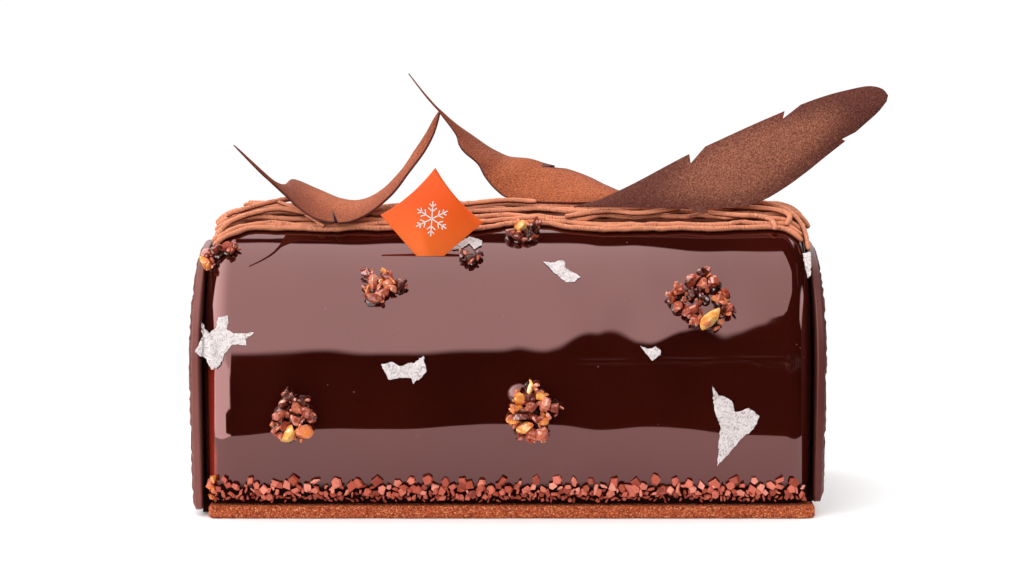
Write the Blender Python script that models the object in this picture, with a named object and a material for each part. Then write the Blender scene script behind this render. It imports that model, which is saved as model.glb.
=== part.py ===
"""Yule log cake: a glazed log on a biscuit base, with chocolate end plaques, piped cream and feathers.

Metres, +Z up. The log lies along X and its front looks to -Y. The origin lies below its middle, in the
biscuit base's underside. The cake's own surface is a rule, on_cake(), and all that lies on the
glaze is placed through it.
"""
import math

import bmesh
import bpy
from mathutils import Matrix, Vector, noise
from mathutils.geometry import delaunay_2d_cdt

# Driving dimensions, in metres and degrees
GAP = 0.0003

BASE_LENGTH = 0.1816
BASE_SHIFT = 0.0012
BASE_HALF_WIDTH = 0.0430
BASE_THICKNESS = 0.0039
BASE_CORNER_RADIUS = 0.0022
BASE_EDGE_ROUND = 0.0006

CAKE_HALF_LENGTH = 0.0908
CAKE_HALF_WIDTH = 0.0440
CAKE_FOOT_TAPER = 0.0026
CAKE_FOOT_Z = BASE_THICKNESS + GAP
CAKE_WIDEST_Z = 0.0400
CAKE_TOP_Z = 0.0875
END_ROUND = 0.0078
WALL_TURN = 43.0

PLAQUE_INNER_X = 0.0912
PLAQUE_OUTER_X = 0.0950
PLAQUE_SMOOTH = 0.0022
PLAQUE_HALF_WIDTH = 0.0446
PLAQUE_FOOT_HALF_WIDTH = 0.0405
PLAQUE_WIDEST_Z = 0.0440
PLAQUE_TOP_Z = 0.0790
PLAQUE_FOOT_ROUND = 0.0030
PLAQUE_LEFT_FOOT_Z = 0.0018
PLAQUE_RIGHT_FOOT_Z = BASE_THICKNESS + GAP
PLAQUE_CHIP = 0.0007

BAND_LEFT = -0.0888
BAND_RIGHT = 0.0910
BAND_FRONT_TURN = 66.0
BAND_BACK_TURN = 114.0
STRAND_DIAMETER = 0.0020
BAND_CREST_HEIGHT = 0.0038
BAND_RIDGES = 9
BAND_END = 0.0130
BAND_RAGGED = 0.0010
BAND_SET_BACK = 0.0062
BAND_GIVE_ALONG = 0.0048
BAND_GIVE_REACH = 0.0108
BAND_GIVE_TURN = 4.5
PRESS_ALONG = -0.0490
PRESS_REACH = 0.0150
PRESS_DEPTH = 0.0016

FEATHER_THICKNESS = 0.0011
FEATHER_EDGE_THICKNESS = 0.0007
QUILL_SHARE = 0.25
FEATHER_CAMBER = 0.05
FEATHER_SLENDER = 0.24
NICK_CLEAR = 0.012

TAG_SIDE = 0.0218
TAG_THICKNESS = 0.0008
TAG_CENTRE = (-0.0229, -0.0263, 0.0884)
TAG_ROLL = 4.0
TAG_LEAN = -2.0
TAG_BOW = 0.0011

NIB_BAND_TURN = 9.5
NIB_BAND_PROUD = 0.0024
NIB_BAND_HALF_LENGTH = 0.0885

# Nut clusters: place along the log, turn round the arch, length, height and depth
CLUSTERS = (
    (-0.0862, 52.0, 0.0100, 0.0095, 0.0062),
    (-0.0374, 36.8, 0.0134, 0.0136, 0.0062),
    (0.0576, 31.6, 0.0196, 0.0192, 0.0078),
    (-0.0635, -11.9, 0.0142, 0.0162, 0.0074),
    (0.0074, -8.6, 0.0150, 0.0184, 0.0082),
    (0.0048, 63.2, 0.0108, 0.0062, 0.0056),
    (-0.0115, 50.0, 0.0084, 0.0080, 0.0044),
)

# Feathers: pairs of points on the lower and upper edge, from the quill's point to the tip
FEATHER_LEFT = (
    ((-0.0813, -0.0360, 0.1111), (-0.0812, -0.0360, 0.1113)),
    ((-0.0740, -0.0265, 0.1020), (-0.0737, -0.0255, 0.1024)),
    ((-0.0707, -0.0210, 0.0981), (-0.0704, -0.0185, 0.0986)),
    ((-0.0669, -0.0185, 0.0942), (-0.0684, -0.0100, 0.0972)),
    ((-0.0634, -0.0180, 0.0908), (-0.0664, -0.0015, 0.0980)),
    ((-0.0577, -0.0195, 0.0875), (-0.0600, 0.0035, 0.0949)),
    ((-0.0502, -0.0200, 0.0865), (-0.0521, 0.0020, 0.0918)),
    ((-0.0433, -0.0185, 0.0886), (-0.0455, 0.0015, 0.0914)),
    ((-0.0356, -0.0145, 0.0945), (-0.0391, 0.0005, 0.0944)),
    ((-0.0303, -0.0110, 0.1012), (-0.0330, -0.0005, 0.1005)),
    ((-0.0258, -0.0080, 0.1071), (-0.0289, -0.0015, 0.1067)),
    ((-0.0230, -0.0055, 0.1122), (-0.0254, -0.0020, 0.1120)),
    ((-0.0215, -0.0040, 0.1167), (-0.0228, -0.0025, 0.1167)),
    ((-0.0211, -0.0032, 0.1189), (-0.0212, -0.0030, 0.1189)),
)
FEATHER_MIDDLE = (
    ((-0.0310, 0.0060, 0.1305), (-0.0308, 0.0060, 0.1306)),
    ((-0.0253, 0.0060, 0.1230), (-0.0251, 0.0060, 0.1235)),
    ((-0.0210, 0.0060, 0.1179), (-0.0208, 0.0065, 0.1187)),
    ((-0.0164, 0.0040, 0.1121), (-0.0160, 0.0075, 0.1144)),
    ((-0.0152, 0.0015, 0.1088), (-0.0110, 0.0085, 0.1108)),
    ((-0.0133, -0.0005, 0.1064), (-0.0067, 0.0095, 0.1077)),
    ((-0.0093, -0.0020, 0.1031), (-0.0029, 0.0105, 0.1055)),
    ((-0.0071, -0.0030, 0.0992), (0.0009, 0.0110, 0.1040)),
    ((-0.0038, -0.0040, 0.0953), (0.0066, 0.0110, 0.1035)),
    ((0.0005, -0.0045, 0.0926), (0.0116, 0.0108, 0.1020)),
    ((0.0101, -0.0050, 0.0914), (0.0185, 0.0102, 0.1003)),
    ((0.0208, -0.0052, 0.0912), (0.0248, 0.0080, 0.0982)),
    ((0.0285, -0.0050, 0.0915), (0.0303, 0.0040, 0.0958)),
    ((0.0357, -0.0040, 0.0924), (0.0354, -0.0005, 0.0939)),
)
FEATHER_RIGHT = (
    ((0.0201, -0.0135, 0.0906), (0.0201, -0.0135, 0.0909)),
    ((0.0274, -0.0140, 0.0907), (0.0272, -0.0130, 0.0926)),
    ((0.0347, -0.0143, 0.0907), (0.0340, -0.0120, 0.0955)),
    ((0.0432, -0.0145, 0.0906), (0.0408, -0.0108, 0.0988)),
    ((0.0523, -0.0146, 0.0906), (0.0479, -0.0092, 0.1025)),
    ((0.0615, -0.0144, 0.0905), (0.0556, -0.0078, 0.1064)),
    ((0.0701, -0.0140, 0.0906), (0.0639, -0.0062, 0.1101)),
    ((0.0775, -0.0125, 0.0925), (0.0726, -0.0048, 0.1140)),
    ((0.0844, -0.0106, 0.0962), (0.0812, -0.0036, 0.1177)),
    ((0.0913, -0.0090, 0.1010), (0.0899, -0.0028, 0.1212)),
    ((0.0976, -0.0074, 0.1059), (0.0979, -0.0022, 0.1240)),
    ((0.1035, -0.0060, 0.1104), (0.1053, -0.0018, 0.1259)),
    ((0.1086, -0.0048, 0.1147), (0.1111, -0.0015, 0.1269)),
    ((0.1136, -0.0036, 0.1190), (0.1151, -0.0015, 0.1261)),
    ((0.1165, -0.0029, 0.1224), (0.1169, -0.0020, 0.1241)),
)
# Nicks between barbs: edge (0 lower, 1 upper), place of the barb's point along the blade, depth
# across it, reach of the slanting side, and how far the foot is cut back under the barb
NICKS_LEFT = ((0, 0.437, 0.24, 0.010, 0.004),)
NICKS_MIDDLE = ((1, 0.727, 0.13, 0.040, 0.032),)
NICKS_RIGHT = ((1, 0.357, 0.17, 0.043, 0.006), (1, 0.603, 0.10, 0.042, 0.008), (0, 0.786, 0.09, 0.045, 0.016))


# Shared shaping tools

def clear_scene():
    for thing in list(bpy.data.objects):
        bpy.data.objects.remove(thing, do_unlink=True)


def finish_material(name, color, roughness, metallic=0.0):
    material = bpy.data.materials.new(name)
    material.use_nodes = True
    shader = material.node_tree.nodes["Principled BSDF"]
    shader.inputs["Base Color"].default_value = (*color, 1.0)
    shader.inputs["Roughness"].default_value = roughness
    shader.inputs["Metallic"].default_value = metallic
    return material


def place_mesh(name, points, faces, material, sharp_angle=50.0):
    """Make a named object from points and faces, with its faces turned outward."""
    mesh = bpy.data.meshes.new(name)
    mesh.from_pydata([tuple(point) for point in points], [], faces)
    work = bmesh.new()
    work.from_mesh(mesh)
    bmesh.ops.recalc_face_normals(work, faces=work.faces)
    bmesh.ops.triangulate(work, faces=work.faces)
    work.to_mesh(mesh)
    work.free()
    mesh.shade_smooth()
    mesh.set_sharp_from_angle(angle=math.radians(sharp_angle))
    piece = bpy.data.objects.new(name, mesh)
    piece.data.materials.append(material)
    bpy.context.collection.objects.link(piece)
    return piece


def loft(name, rings, material, sharp_angle=50.0):
    """Skin a row of closed rings of equal count, and close both ends with a flat cap."""
    count = len(rings[0])
    points = [point for ring in rings for point in ring]
    faces = [list(range(count)), list(range(len(points) - count, len(points)))]
    for row in range(len(rings) - 1):
        for k in range(count):
            near = row * count
            following = (k + 1) % count
            faces.append((near + k, near + following, near + count + following, near + count + k))
    return place_mesh(name, points, faces, material, sharp_angle)


def skin_both_sides(name, triangles, over, under, material):
    """Close a flat net of triangles into a thin solid between its upper and lower points."""
    count = len(over)
    faces = [tuple(tri) for tri in triangles]
    faces += [tuple(count + k for k in reversed(tri)) for tri in triangles]
    edges = {(a, b) for tri in triangles for a, b in zip(tri, tri[1:] + tri[:1])}
    for a, b in sorted(edges):
        if (b, a) not in edges:
            faces.append((b, a, count + a, count + b))
    return place_mesh(name, over + under, faces, material, 35.0)


def steps(start, end, count):
    return [start + (end - start) * k / count for k in range(count + 1)]


def uneven(along, across, scale, seed):
    """Smooth roughness between -1 and 1."""
    return noise.noise(Vector((along * scale, across * scale, seed)))


# The log's own surface

def section(turn):
    """The glaze's outline and outward direction at an angle round the arch.

    0 is the widest place at the front, 90 the crest and 180 the widest place at the back. Below 0
    and above 180 the outline runs down the walls to the foot.
    """
    side = -1.0 if turn < 90.0 else 1.0
    down = max(-turn, turn - 180.0, 0.0) / WALL_TURN
    if down > 0.0:
        half_width = CAKE_HALF_WIDTH - CAKE_FOOT_TAPER * down ** 2
        height = CAKE_WIDEST_Z - down * (CAKE_WIDEST_Z - CAKE_FOOT_Z)
        return Vector((0.0, side * half_width, height)), Vector((0.0, side, 0.0))
    angle = math.radians(turn)
    rise = CAKE_TOP_Z - CAKE_WIDEST_Z
    outline = Vector((0.0, -CAKE_HALF_WIDTH * math.cos(angle), CAKE_WIDEST_Z + rise * math.sin(angle)))
    outward = Vector((0.0, -math.cos(angle) / CAKE_HALF_WIDTH, math.sin(angle) / rise))
    return outline, outward.normalized()


def on_cake(along, turn, lift=0.0):
    """Point at a distance along the log and a turn round it, lifted off the glaze.

    Past the straight stretch the distance runs on round the end's rounded edge.
    """
    outline, outward = section(turn)
    straight = CAKE_HALF_LENGTH - END_ROUND
    bend = min(max(abs(along) - straight, 0.0) / END_ROUND, math.pi / 2)
    reach = min(abs(along), straight) + (END_ROUND + lift) * math.sin(bend)
    inset = END_ROUND - (END_ROUND + lift) * math.cos(bend)
    point = outline - outward * inset
    point.x = math.copysign(reach, along)
    return point


def turn_per_metre():
    """Degrees of turn for each metre round the arch, near enough the same all the way."""
    return WALL_TURN / (CAKE_WIDEST_Z - CAKE_FOOT_Z)


# Base, log and plaques

def biscuit_base(material):
    """A thin rounded slab whose edges are eased at the top and the bottom."""
    def ring(height, inset):
        radius = BASE_CORNER_RADIUS
        half_length = BASE_LENGTH / 2 - radius
        half_width = BASE_HALF_WIDTH - radius
        points = []
        for corner in range(4):
            right = 1.0 if corner in (0, 3) else -1.0
            back = 1.0 if corner < 2 else -1.0
            for part in range(5):
                angle = math.radians(90.0 * corner + 22.5 * part)
                reach = radius - inset
                x = BASE_SHIFT + right * half_length + reach * math.cos(angle)
                y = back * half_width + reach * math.sin(angle)
                points.append(Vector((x, y, height)))
        return points

    edge = BASE_EDGE_ROUND
    rings = [ring(0.0, edge), ring(edge * 0.3, edge * 0.3), ring(edge, 0.0)]
    rings += [ring(BASE_THICKNESS - edge / 2, 0.0), ring(BASE_THICKNESS, edge / 2)]
    return loft("biscuit_base", rings, material)


def cake_body(material):
    """The glazed log: the arch swept along X, with its end edges rounded over."""
    turns = steps(-WALL_TURN, 0.0, 4)[:-1] + steps(0.0, 180.0, 36) + steps(180.0, 180.0 + WALL_TURN, 4)[1:]
    straight = CAKE_HALF_LENGTH - END_ROUND
    rounded = steps(straight + END_ROUND * math.pi / 2, straight, 6)
    distances = [-distance for distance in rounded] + [-0.05, 0.0, 0.05] + rounded[::-1]
    rings = [[on_cake(along, turn) for turn in turns] for along in distances]
    return loft("cake_body", rings, material)


def arch_ring(x, foot_z, inset, rough, seed):
    """One ring of a plaque's outline at x, drawn in by inset and by seeded roughness."""
    corner_y = PLAQUE_FOOT_HALF_WIDTH - PLAQUE_FOOT_ROUND
    corner_z = foot_z + PLAQUE_FOOT_ROUND
    half = []
    for angle in steps(0.0, 90.0, 3):
        a = math.radians(angle)
        half.append((corner_y + PLAQUE_FOOT_ROUND * math.sin(a), corner_z - PLAQUE_FOOT_ROUND * math.cos(a)))
    swell = PLAQUE_HALF_WIDTH - PLAQUE_FOOT_HALF_WIDTH
    for part in steps(0.0, 1.0, 5)[1:-1]:
        y = PLAQUE_FOOT_HALF_WIDTH + swell * math.sin(part * math.pi / 2)
        half.append((y, corner_z + (PLAQUE_WIDEST_Z - corner_z) * part))
    for angle in steps(0.0, 90.0, 12):
        a = math.radians(angle)
        z = PLAQUE_WIDEST_Z + (PLAQUE_TOP_Z - PLAQUE_WIDEST_Z) * math.sin(a)
        half.append((PLAQUE_HALF_WIDTH * math.cos(a), z))
    ring = []
    for y, z in half + [(-y, z) for y, z in reversed(half[:-1])]:
        bite = inset + rough * abs(uneven(y, z, 260.0, seed))
        shrink = 1.0 - bite / PLAQUE_FOOT_HALF_WIDTH
        ring.append(Vector((x, y * shrink, PLAQUE_WIDEST_Z + (z - PLAQUE_WIDEST_Z) * shrink)))
    return ring


def end_plaque(name, side, foot_z, material):
    """A chocolate arch standing at one end: smooth inner edge, hewn and chipped outer face."""
    seed = 3.0 + side
    thick = PLAQUE_OUTER_X - PLAQUE_INNER_X
    rings = [arch_ring(PLAQUE_INNER_X, foot_z, 0.0004, 0.0, seed)]
    rings.append(arch_ring(PLAQUE_INNER_X + 0.0004, foot_z, 0.0, 0.0, seed))
    rings.append(arch_ring(PLAQUE_INNER_X + PLAQUE_SMOOTH, foot_z, 0.0, 0.0, seed))
    for share, inset in ((0.86, 0.0007), (0.97, 0.0028), (1.0, 0.0110), (0.95, 0.0220), (1.0, 0.0320)):
        ring = arch_ring(PLAQUE_INNER_X + thick * share, foot_z, inset, PLAQUE_CHIP * 2, seed + share)
        for point in ring:
            point.x -= PLAQUE_CHIP * abs(uneven(point.y, point.z, 170.0, seed))
        rings.append(ring)
    for ring in rings:
        for point in ring:
            point.x *= side
    return loft(name, rings, material, 25.0)


# Piped cream band

def cream_strands(material):
    """One solid out to the uneven outline of the piped strands that lie along the crest."""
    stretches = steps(BAND_LEFT, BAND_LEFT + BAND_END, 8)
    stretches += steps(BAND_LEFT + BAND_END, BAND_RIGHT - BAND_END, 30)[1:-1]
    stretches += steps(BAND_RIGHT - BAND_END, BAND_RIGHT, 8)
    columns = 2 * BAND_RIDGES
    middle = (BAND_FRONT_TURN + BAND_BACK_TURN) / 2
    over = []
    under = []
    for i, distance in enumerate(stretches):
        for j in range(columns + 1):
            v = j / columns
            along = distance + BAND_RAGGED * uneven(v * 0.01, 0.0, 900.0, 7.0)
            # On the left the strands along the crest start further in than those at the front
            left = max(1.0 - (distance - BAND_LEFT) / BAND_END, 0.0)
            along += BAND_SET_BACK * left * min(max((v - 0.08) / 0.30, 0.0), 1.0)
            spread = 1.0 + 0.10 * uneven(along, 0.0, 60.0, 11.0)
            # One cluster sits in the band's front edge, so the band gives way there
            room = BAND_GIVE_TURN * math.exp(-(((along - BAND_GIVE_ALONG) / BAND_GIVE_REACH) ** 2))
            turn = middle + (2.0 * v - 1.0) * (BAND_BACK_TURN - middle) * spread + room * (1.0 - v) ** 4
            crown = 1.0 - (2.0 * v - 1.0) ** 2
            ridge = 0.5 + 0.5 * math.cos(2.0 * math.pi * BAND_RIDGES * v)
            height = 0.6 * STRAND_DIAMETER + (BAND_CREST_HEIGHT - STRAND_DIAMETER) * crown
            height += 0.25 * STRAND_DIAMETER * (ridge + uneven(along, v * 0.05, 90.0, 2.0))
            # The left feather has pressed the strands down where it rests
            height -= PRESS_DEPTH * math.exp(-(((along - PRESS_ALONG) / PRESS_REACH) ** 2)) * crown
            end_fade = min(i, len(stretches) - 1 - i, 2) / 2
            height = max(height, STRAND_DIAMETER / 2) * (0.6 + 0.4 * end_fade)
            over.append(on_cake(along, turn, GAP + height))
            under.append(on_cake(along, turn, GAP))
    triangles = []
    for i in range(len(stretches) - 1):
        for j in range(columns):
            a = i * (columns + 1) + j
            b = a + columns + 1
            triangles.append((a, b, b + 1))
            triangles.append((a, b + 1, a + 1))
    return skin_both_sides("cream_strands", triangles, over, under, material)


# Chocolate feathers

def through(points, s):
    """Point at s, from 0 to 1, of a smooth curve through the given points."""
    span = s * (len(points) - 1)
    first = min(int(span), len(points) - 2)
    t = span - first
    a, b, c, d = (points[min(max(first + k, 0), len(points) - 1)] for k in (-1, 0, 1, 2))
    return 0.5 * (2.0 * b + (c - a) * t + (2.0 * a - 5.0 * b + 4.0 * c - d) * t ** 2
                  + (3.0 * b - a - 3.0 * c + d) * t ** 3)


def blade_point(ribs, camber, s, t):
    """Middle surface of a feather: s runs from quill to tip, t from the lower to the upper edge."""
    low = through([Vector(rib[0]) for rib in ribs], s)
    high = through([Vector(rib[1]) for rib in ribs], s)
    across = high - low
    ahead = through([Vector(rib[0]) for rib in ribs], min(s + 0.01, 1.0))
    behind = through([Vector(rib[0]) for rib in ribs], max(s - 0.01, 0.0))
    swell = (ahead - behind).cross(across).normalized()
    return low + across * t + swell * (camber * across.length * 4.0 * t * (1.0 - t))


def blade_net(nicks, columns, rows):
    """Flat net of a feather's blade over s and t, with its nicks cut into the outline."""
    outline = []
    for edge in (0, 1):
        mine = [nick for nick in nicks if nick[0] == edge]
        row = []
        for s in steps(0.0, 1.0, columns):
            if all(s < place - cut - NICK_CLEAR or s > place + slant + NICK_CLEAR
                   for _, place, _, slant, cut in mine):
                row.append((s, s, float(edge)))
        for _, place, depth, slant, cut in mine:
            # The foot lies back under the barb's point, but follows it round the outline
            shoulder = place - cut - NICK_CLEAR / 2
            row.append((shoulder, shoulder, float(edge)))
            row.append((place, place, float(edge)))
            row.append((place + 0.001, place - cut, abs(edge - depth)))
            row.append((place + slant, place + slant, float(edge)))
        row.sort()
        spots = [(s, t) for _, s, t in row]
        outline += spots if edge == 0 else spots[::-1]
    points = [Vector((s, t * FEATHER_SLENDER)) for s, t in outline]
    loop = [(k, (k + 1) % len(points)) for k in range(len(points))]
    for s in steps(0.0, 1.0, columns)[1:-1]:
        for t in steps(0.0, 1.0, rows)[1:-1]:
            if not any(place - cut - NICK_CLEAR < s < place + slant and abs(t - edge) < depth + 0.05
                       for edge, place, depth, slant, cut in nicks):
                points.append(Vector((s, t * FEATHER_SLENDER)))
    corners, _, faces, _, _, _ = delaunay_2d_cdt(points, loop, [], 1, 1e-6)
    spots = [(c.x, min(max(c.y / FEATHER_SLENDER, 0.0), 1.0)) for c in corners]
    return spots, [tuple(f) for f in faces]


def feather(name, ribs, nicks, camber, material):
    """A thin bent chocolate blade, a little thinner at its edges."""
    net, triangles = blade_net(nicks, 34, 4)
    over = []
    under = []
    for s, t in net:
        centre = blade_point(ribs, camber, s, t)
        ahead = blade_point(ribs, camber, min(s + 0.004, 1.0), t)
        behind = blade_point(ribs, camber, max(s - 0.004, 0.0), t)
        above = blade_point(ribs, camber, s, min(t + 0.02, 1.0))
        below = blade_point(ribs, camber, s, max(t - 0.02, 0.0))
        facing = (ahead - behind).cross(above - below).normalized()
        body = (1.0 - (2.0 * t - 1.0) ** 4) * min(s / QUILL_SHARE, 1.0)
        half = (FEATHER_EDGE_THICKNESS + (FEATHER_THICKNESS - FEATHER_EDGE_THICKNESS) * body) / 2
        over.append(centre + facing * half)
        under.append(centre - facing * half)
    return skin_both_sides(name, triangles, over, under, material)


# Tag, clusters and nib borders

def tag_plate(name, side, thickness, material):
    """A thin square plate on one corner, leaning a little backward, its two upper sides hollow."""
    half = side / 2
    rings = []
    for depth, ease in ((-0.5, 0.0001), (-0.35, 0.0), (0.35, 0.0), (0.5, 0.0001)):
        ring = []
        for edge in range(4):
            for part in steps(-1.0, 1.0, 6)[:-1]:
                hollow = TAG_BOW * (1.0 - part ** 2) * (edge >= 2)
                spot = Vector((part * (half - ease), 0.0, -(half - ease - hollow)))
                spot.y = depth * thickness
                ring.append(Matrix.Rotation(math.radians(-90.0 * edge), 3, "Y") @ spot)
        rings.append(ring)
    plate = loft(name, rings, material)
    lean = Matrix.Rotation(math.radians(TAG_LEAN), 4, "X")
    roll = Matrix.Rotation(math.radians(45.0 + TAG_ROLL), 4, "Y")
    plate.data.transform(Matrix.Translation(TAG_CENTRE) @ lean @ roll)
    return plate


def cut_slot(body, cutter):
    """Cut the slot that the tag's lower corner is pushed into."""
    cutter.hide_render = True
    cutter.display_type = "WIRE"
    slot = body.modifiers.new("tag slot", "BOOLEAN")
    slot.operation = "DIFFERENCE"
    slot.solver = "EXACT"
    slot.object = cutter


def nut_cluster(number, along, turn, length, height, depth, material):
    """A craggy lump of caramelised nibs and nuts that sits on the glaze."""
    lump = bmesh.new()
    bmesh.ops.create_icosphere(lump, subdivisions=2, radius=1.0)
    for vertex in lump.verts:
        way = vertex.co.normalized()
        crag = 1.0 + 0.26 * noise.noise(way * 2.3 + Vector((9.0 * number, 0.0, 0.0)))
        crag += 0.10 * noise.noise(way * 5.0 + Vector((0.0, 5.0 * number, 0.0)))
        away = max(way.z * crag * 0.62 + 0.38, 0.0) * depth
        x = along + way.x * crag * length / 2
        round_the_arch = turn + way.y * crag * height / 2 * turn_per_metre()
        vertex.co = on_cake(x, round_the_arch, GAP + away)
    points = [vertex.co.copy() for vertex in lump.verts]
    faces = [[vertex.index for vertex in face.verts] for face in lump.faces]
    lump.free()
    return place_mesh(f"nut_cluster_{number}", points, faces, material, 30.0)


def nib_border(name, front, material):
    """The row of chopped nibs pressed along one long foot of the log, out to its uneven outline."""
    seed = 4.0 if front else 8.0
    rings = []
    for i, along in enumerate(steps(-NIB_BAND_HALF_LENGTH, NIB_BAND_HALF_LENGTH, 48)):
        crest = NIB_BAND_TURN * (1.0 + 0.22 * uneven(along, 0.0, 330.0, seed))
        proud = NIB_BAND_PROUD * (1.0 + 0.30 * uneven(along, 0.0, 410.0, seed + 1.0))
        shape = ((0.10, 0.0), (0.10, 0.80), (0.45, 1.0), (0.80, 0.75), (1.0, 0.0))
        ring = []
        for share, out in shape:
            turn = -WALL_TURN + crest * share
            if not front:
                turn = 180.0 - turn
            ring.append(on_cake(along, turn, GAP + proud * out))
        rings.append(ring)
    return loft(name, rings, material, 30.0)


def build():
    clear_scene()
    biscuit = finish_material("biscuit", (0.46, 0.16, 0.06), 0.85)
    glaze = finish_material("dark_glaze", (0.035, 0.008, 0.006), 0.06)
    chocolate = finish_material("dark_chocolate", (0.13, 0.05, 0.045), 0.45)
    cream = finish_material("chestnut_cream", (0.46, 0.19, 0.10), 0.65)
    dusted = finish_material("dusted_chocolate", (0.33, 0.13, 0.07), 0.55)
    dark_dusted = finish_material("bronze_chocolate", (0.13, 0.05, 0.035), 0.5)
    orange = finish_material("orange_tag", (0.93, 0.10, 0.008), 0.4)
    praline = finish_material("caramel_nuts", (0.30, 0.08, 0.03), 0.3)
    nibs = finish_material("cocoa_nibs", (0.38, 0.11, 0.07), 0.6)

    biscuit_base(biscuit)
    body = cake_body(glaze)
    end_plaque("end_plaque_left", -1.0, PLAQUE_LEFT_FOOT_Z, chocolate)
    end_plaque("end_plaque_right", 1.0, PLAQUE_RIGHT_FOOT_Z, chocolate)
    cream_strands(cream)
    feather("feather_left", FEATHER_LEFT, NICKS_LEFT, FEATHER_CAMBER, dusted)
    feather("feather_middle", FEATHER_MIDDLE, NICKS_MIDDLE, FEATHER_CAMBER, dusted)
    feather("feather_right", FEATHER_RIGHT, NICKS_RIGHT, FEATHER_CAMBER, dark_dusted)
    tag_plate("tag", TAG_SIDE, TAG_THICKNESS, orange)
    cut_slot(body, tag_plate("tag_slot_cutter", TAG_SIDE + 2 * GAP, TAG_THICKNESS + 2 * GAP, orange))
    for number, sizes in enumerate(CLUSTERS, start=1):
        nut_cluster(number, *sizes, praline)
    nib_border("nib_border_front", True, nibs)
    nib_border("nib_border_back", False, nibs)


build()
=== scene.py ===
"""Looks of the yule log cake: mirror glaze, piped chestnut cream, dusted chocolate feathers, nibs and leaf.

Metres, +Z up, in the frame's own place: the log lies along X and its front looks to -Y. All that lies on
the log is placed through on_cake(), by a distance along the log, a turn round it and a lift off the glaze.
"""
import math
import random

import bmesh
import bpy
from mathutils import Matrix, Vector, noise
from mathutils.geometry import delaunay_2d_cdt


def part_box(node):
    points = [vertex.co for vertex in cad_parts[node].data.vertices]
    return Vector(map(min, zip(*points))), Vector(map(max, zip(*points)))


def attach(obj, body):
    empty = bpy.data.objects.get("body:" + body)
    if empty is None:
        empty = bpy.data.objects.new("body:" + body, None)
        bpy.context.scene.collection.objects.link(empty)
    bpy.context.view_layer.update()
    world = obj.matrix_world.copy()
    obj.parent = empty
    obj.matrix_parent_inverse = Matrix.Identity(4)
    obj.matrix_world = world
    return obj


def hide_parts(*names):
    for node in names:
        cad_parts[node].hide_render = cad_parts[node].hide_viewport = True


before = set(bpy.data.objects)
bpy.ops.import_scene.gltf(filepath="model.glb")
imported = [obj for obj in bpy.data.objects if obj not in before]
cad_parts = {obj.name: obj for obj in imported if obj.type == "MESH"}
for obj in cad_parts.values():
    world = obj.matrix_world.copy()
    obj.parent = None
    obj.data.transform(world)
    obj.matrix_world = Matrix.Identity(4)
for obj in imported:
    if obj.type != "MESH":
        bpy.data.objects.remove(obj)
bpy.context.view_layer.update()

MM = 0.001

# The log: its box gives the driving sizes, and these shape what lies between
CAKE_LOW, CAKE_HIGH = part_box("cake_body")
CAKE_HALF_LENGTH = CAKE_HIGH.x
CAKE_HALF_WIDTH = CAKE_HIGH.y
CAKE_TOP_Z = CAKE_HIGH.z
CAKE_FOOT_Z = CAKE_LOW.z
CAKE_WIDEST_Z = 0.0400
CAKE_FOOT_TAPER = 0.0026
END_ROUND = 0.0078
WALL_TURN = 43.0
FOOT_TURN = 90.0 + WALL_TURN
GLAZE_WAVE = 0.00034
FOOT_TUCK = 0.0017
END_GLAZE_HALF_WIDTH = 0.0360
END_GLAZE_LENGTH = 0.0040
END_GLAZE_HEIGHT = 0.0100
# Where the glaze on the left end's edge is thin and painted with a red glow of light shining through it, as
# distances along the log
THIN_GLOW_RISE = (0.0868, 0.0878)
THIN_GLOW_FALL = (0.0893, 0.0905)

# The biscuit base
BASE_CORNER_RADIUS = 0.0024
BASE_EDGE_STEP = 0.0006

# The end plaques
PLAQUE_FOOT_HALF_WIDTH = 0.0405
PLAQUE_WIDEST_Z = 0.0440
PLAQUE_FOOT_ROUND = 0.0030
PLAQUE_SMOOTH = 0.0022
PLAQUE_CLEAR = 0.0004
PLAQUE_RIM_SLOPE = 0.0024
PLAQUE_HEW = 0.0007
PLAQUE_CHIP = 0.0007
SCOOP_PITCH = 0.0040
SCOOP_DEPTH = 0.0007

# The piped band
BAND_LEFT = -0.0888
BAND_SET_BACK = 0.0062
BAND_RIGHT = 0.0910
BAND_FRONT_TURN = 66.0
BAND_BACK_TURN = 114.0
STRAND_RADIUS = 0.00084
STRAND_SIDES = 10
LANE_STEP = 0.0007
LANE_LAYER_SHADE = 0.75
BAND_CREST_HEIGHT = 0.0038
BAND_GIVE_ALONG = 0.0048
BAND_GIVE_REACH = 0.0108
BAND_GIVE_TURN = 4.5
PRESS_ALONG = -0.0490
PRESS_REACH = 0.0150
PRESS_DEPTH = 0.0016
# A strand's rounded end: push past its last point and share of its girth
ROUND_END = ((0.28, 0.96), (0.62, 0.78), (0.92, 0.35))

# The feathers
FEATHER_THICKNESS = 0.0011
FEATHER_EDGE_THICKNESS = 0.0007
QUILL_SHARE = 0.25
FEATHER_CAMBER = 0.05
FEATHER_SLENDER = 0.24
NICK_CLEAR = 0.012
BLADE_COLUMNS = 130
BLADE_ROWS = (0.015, 0.05, 0.12, 0.2, 0.3, 0.4, 0.5, 0.6, 0.7, 0.8, 0.88, 0.95, 0.985)

# The tag
TAG_SIDE = 0.0218
TAG_THICKNESS = 0.0008
TAG_ROLL = 4.0
TAG_LEAN = -2.0
TAG_BOW = 0.0011
# Share of the tag's thickness from front to back, and how far its edge is drawn in there
TAG_RIM = ((-0.5, 0.00016), (-0.42, 0.00004), (-0.3, 0.0), (0.3, 0.0), (0.42, 0.00004), (0.5, 0.00016))
FLAKE_ARM = 0.0052
FLAKE_LINE = 0.00016
FLAKE_RISE = 0.00006
FLAKE_BARB_ANGLE = 50.0

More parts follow.
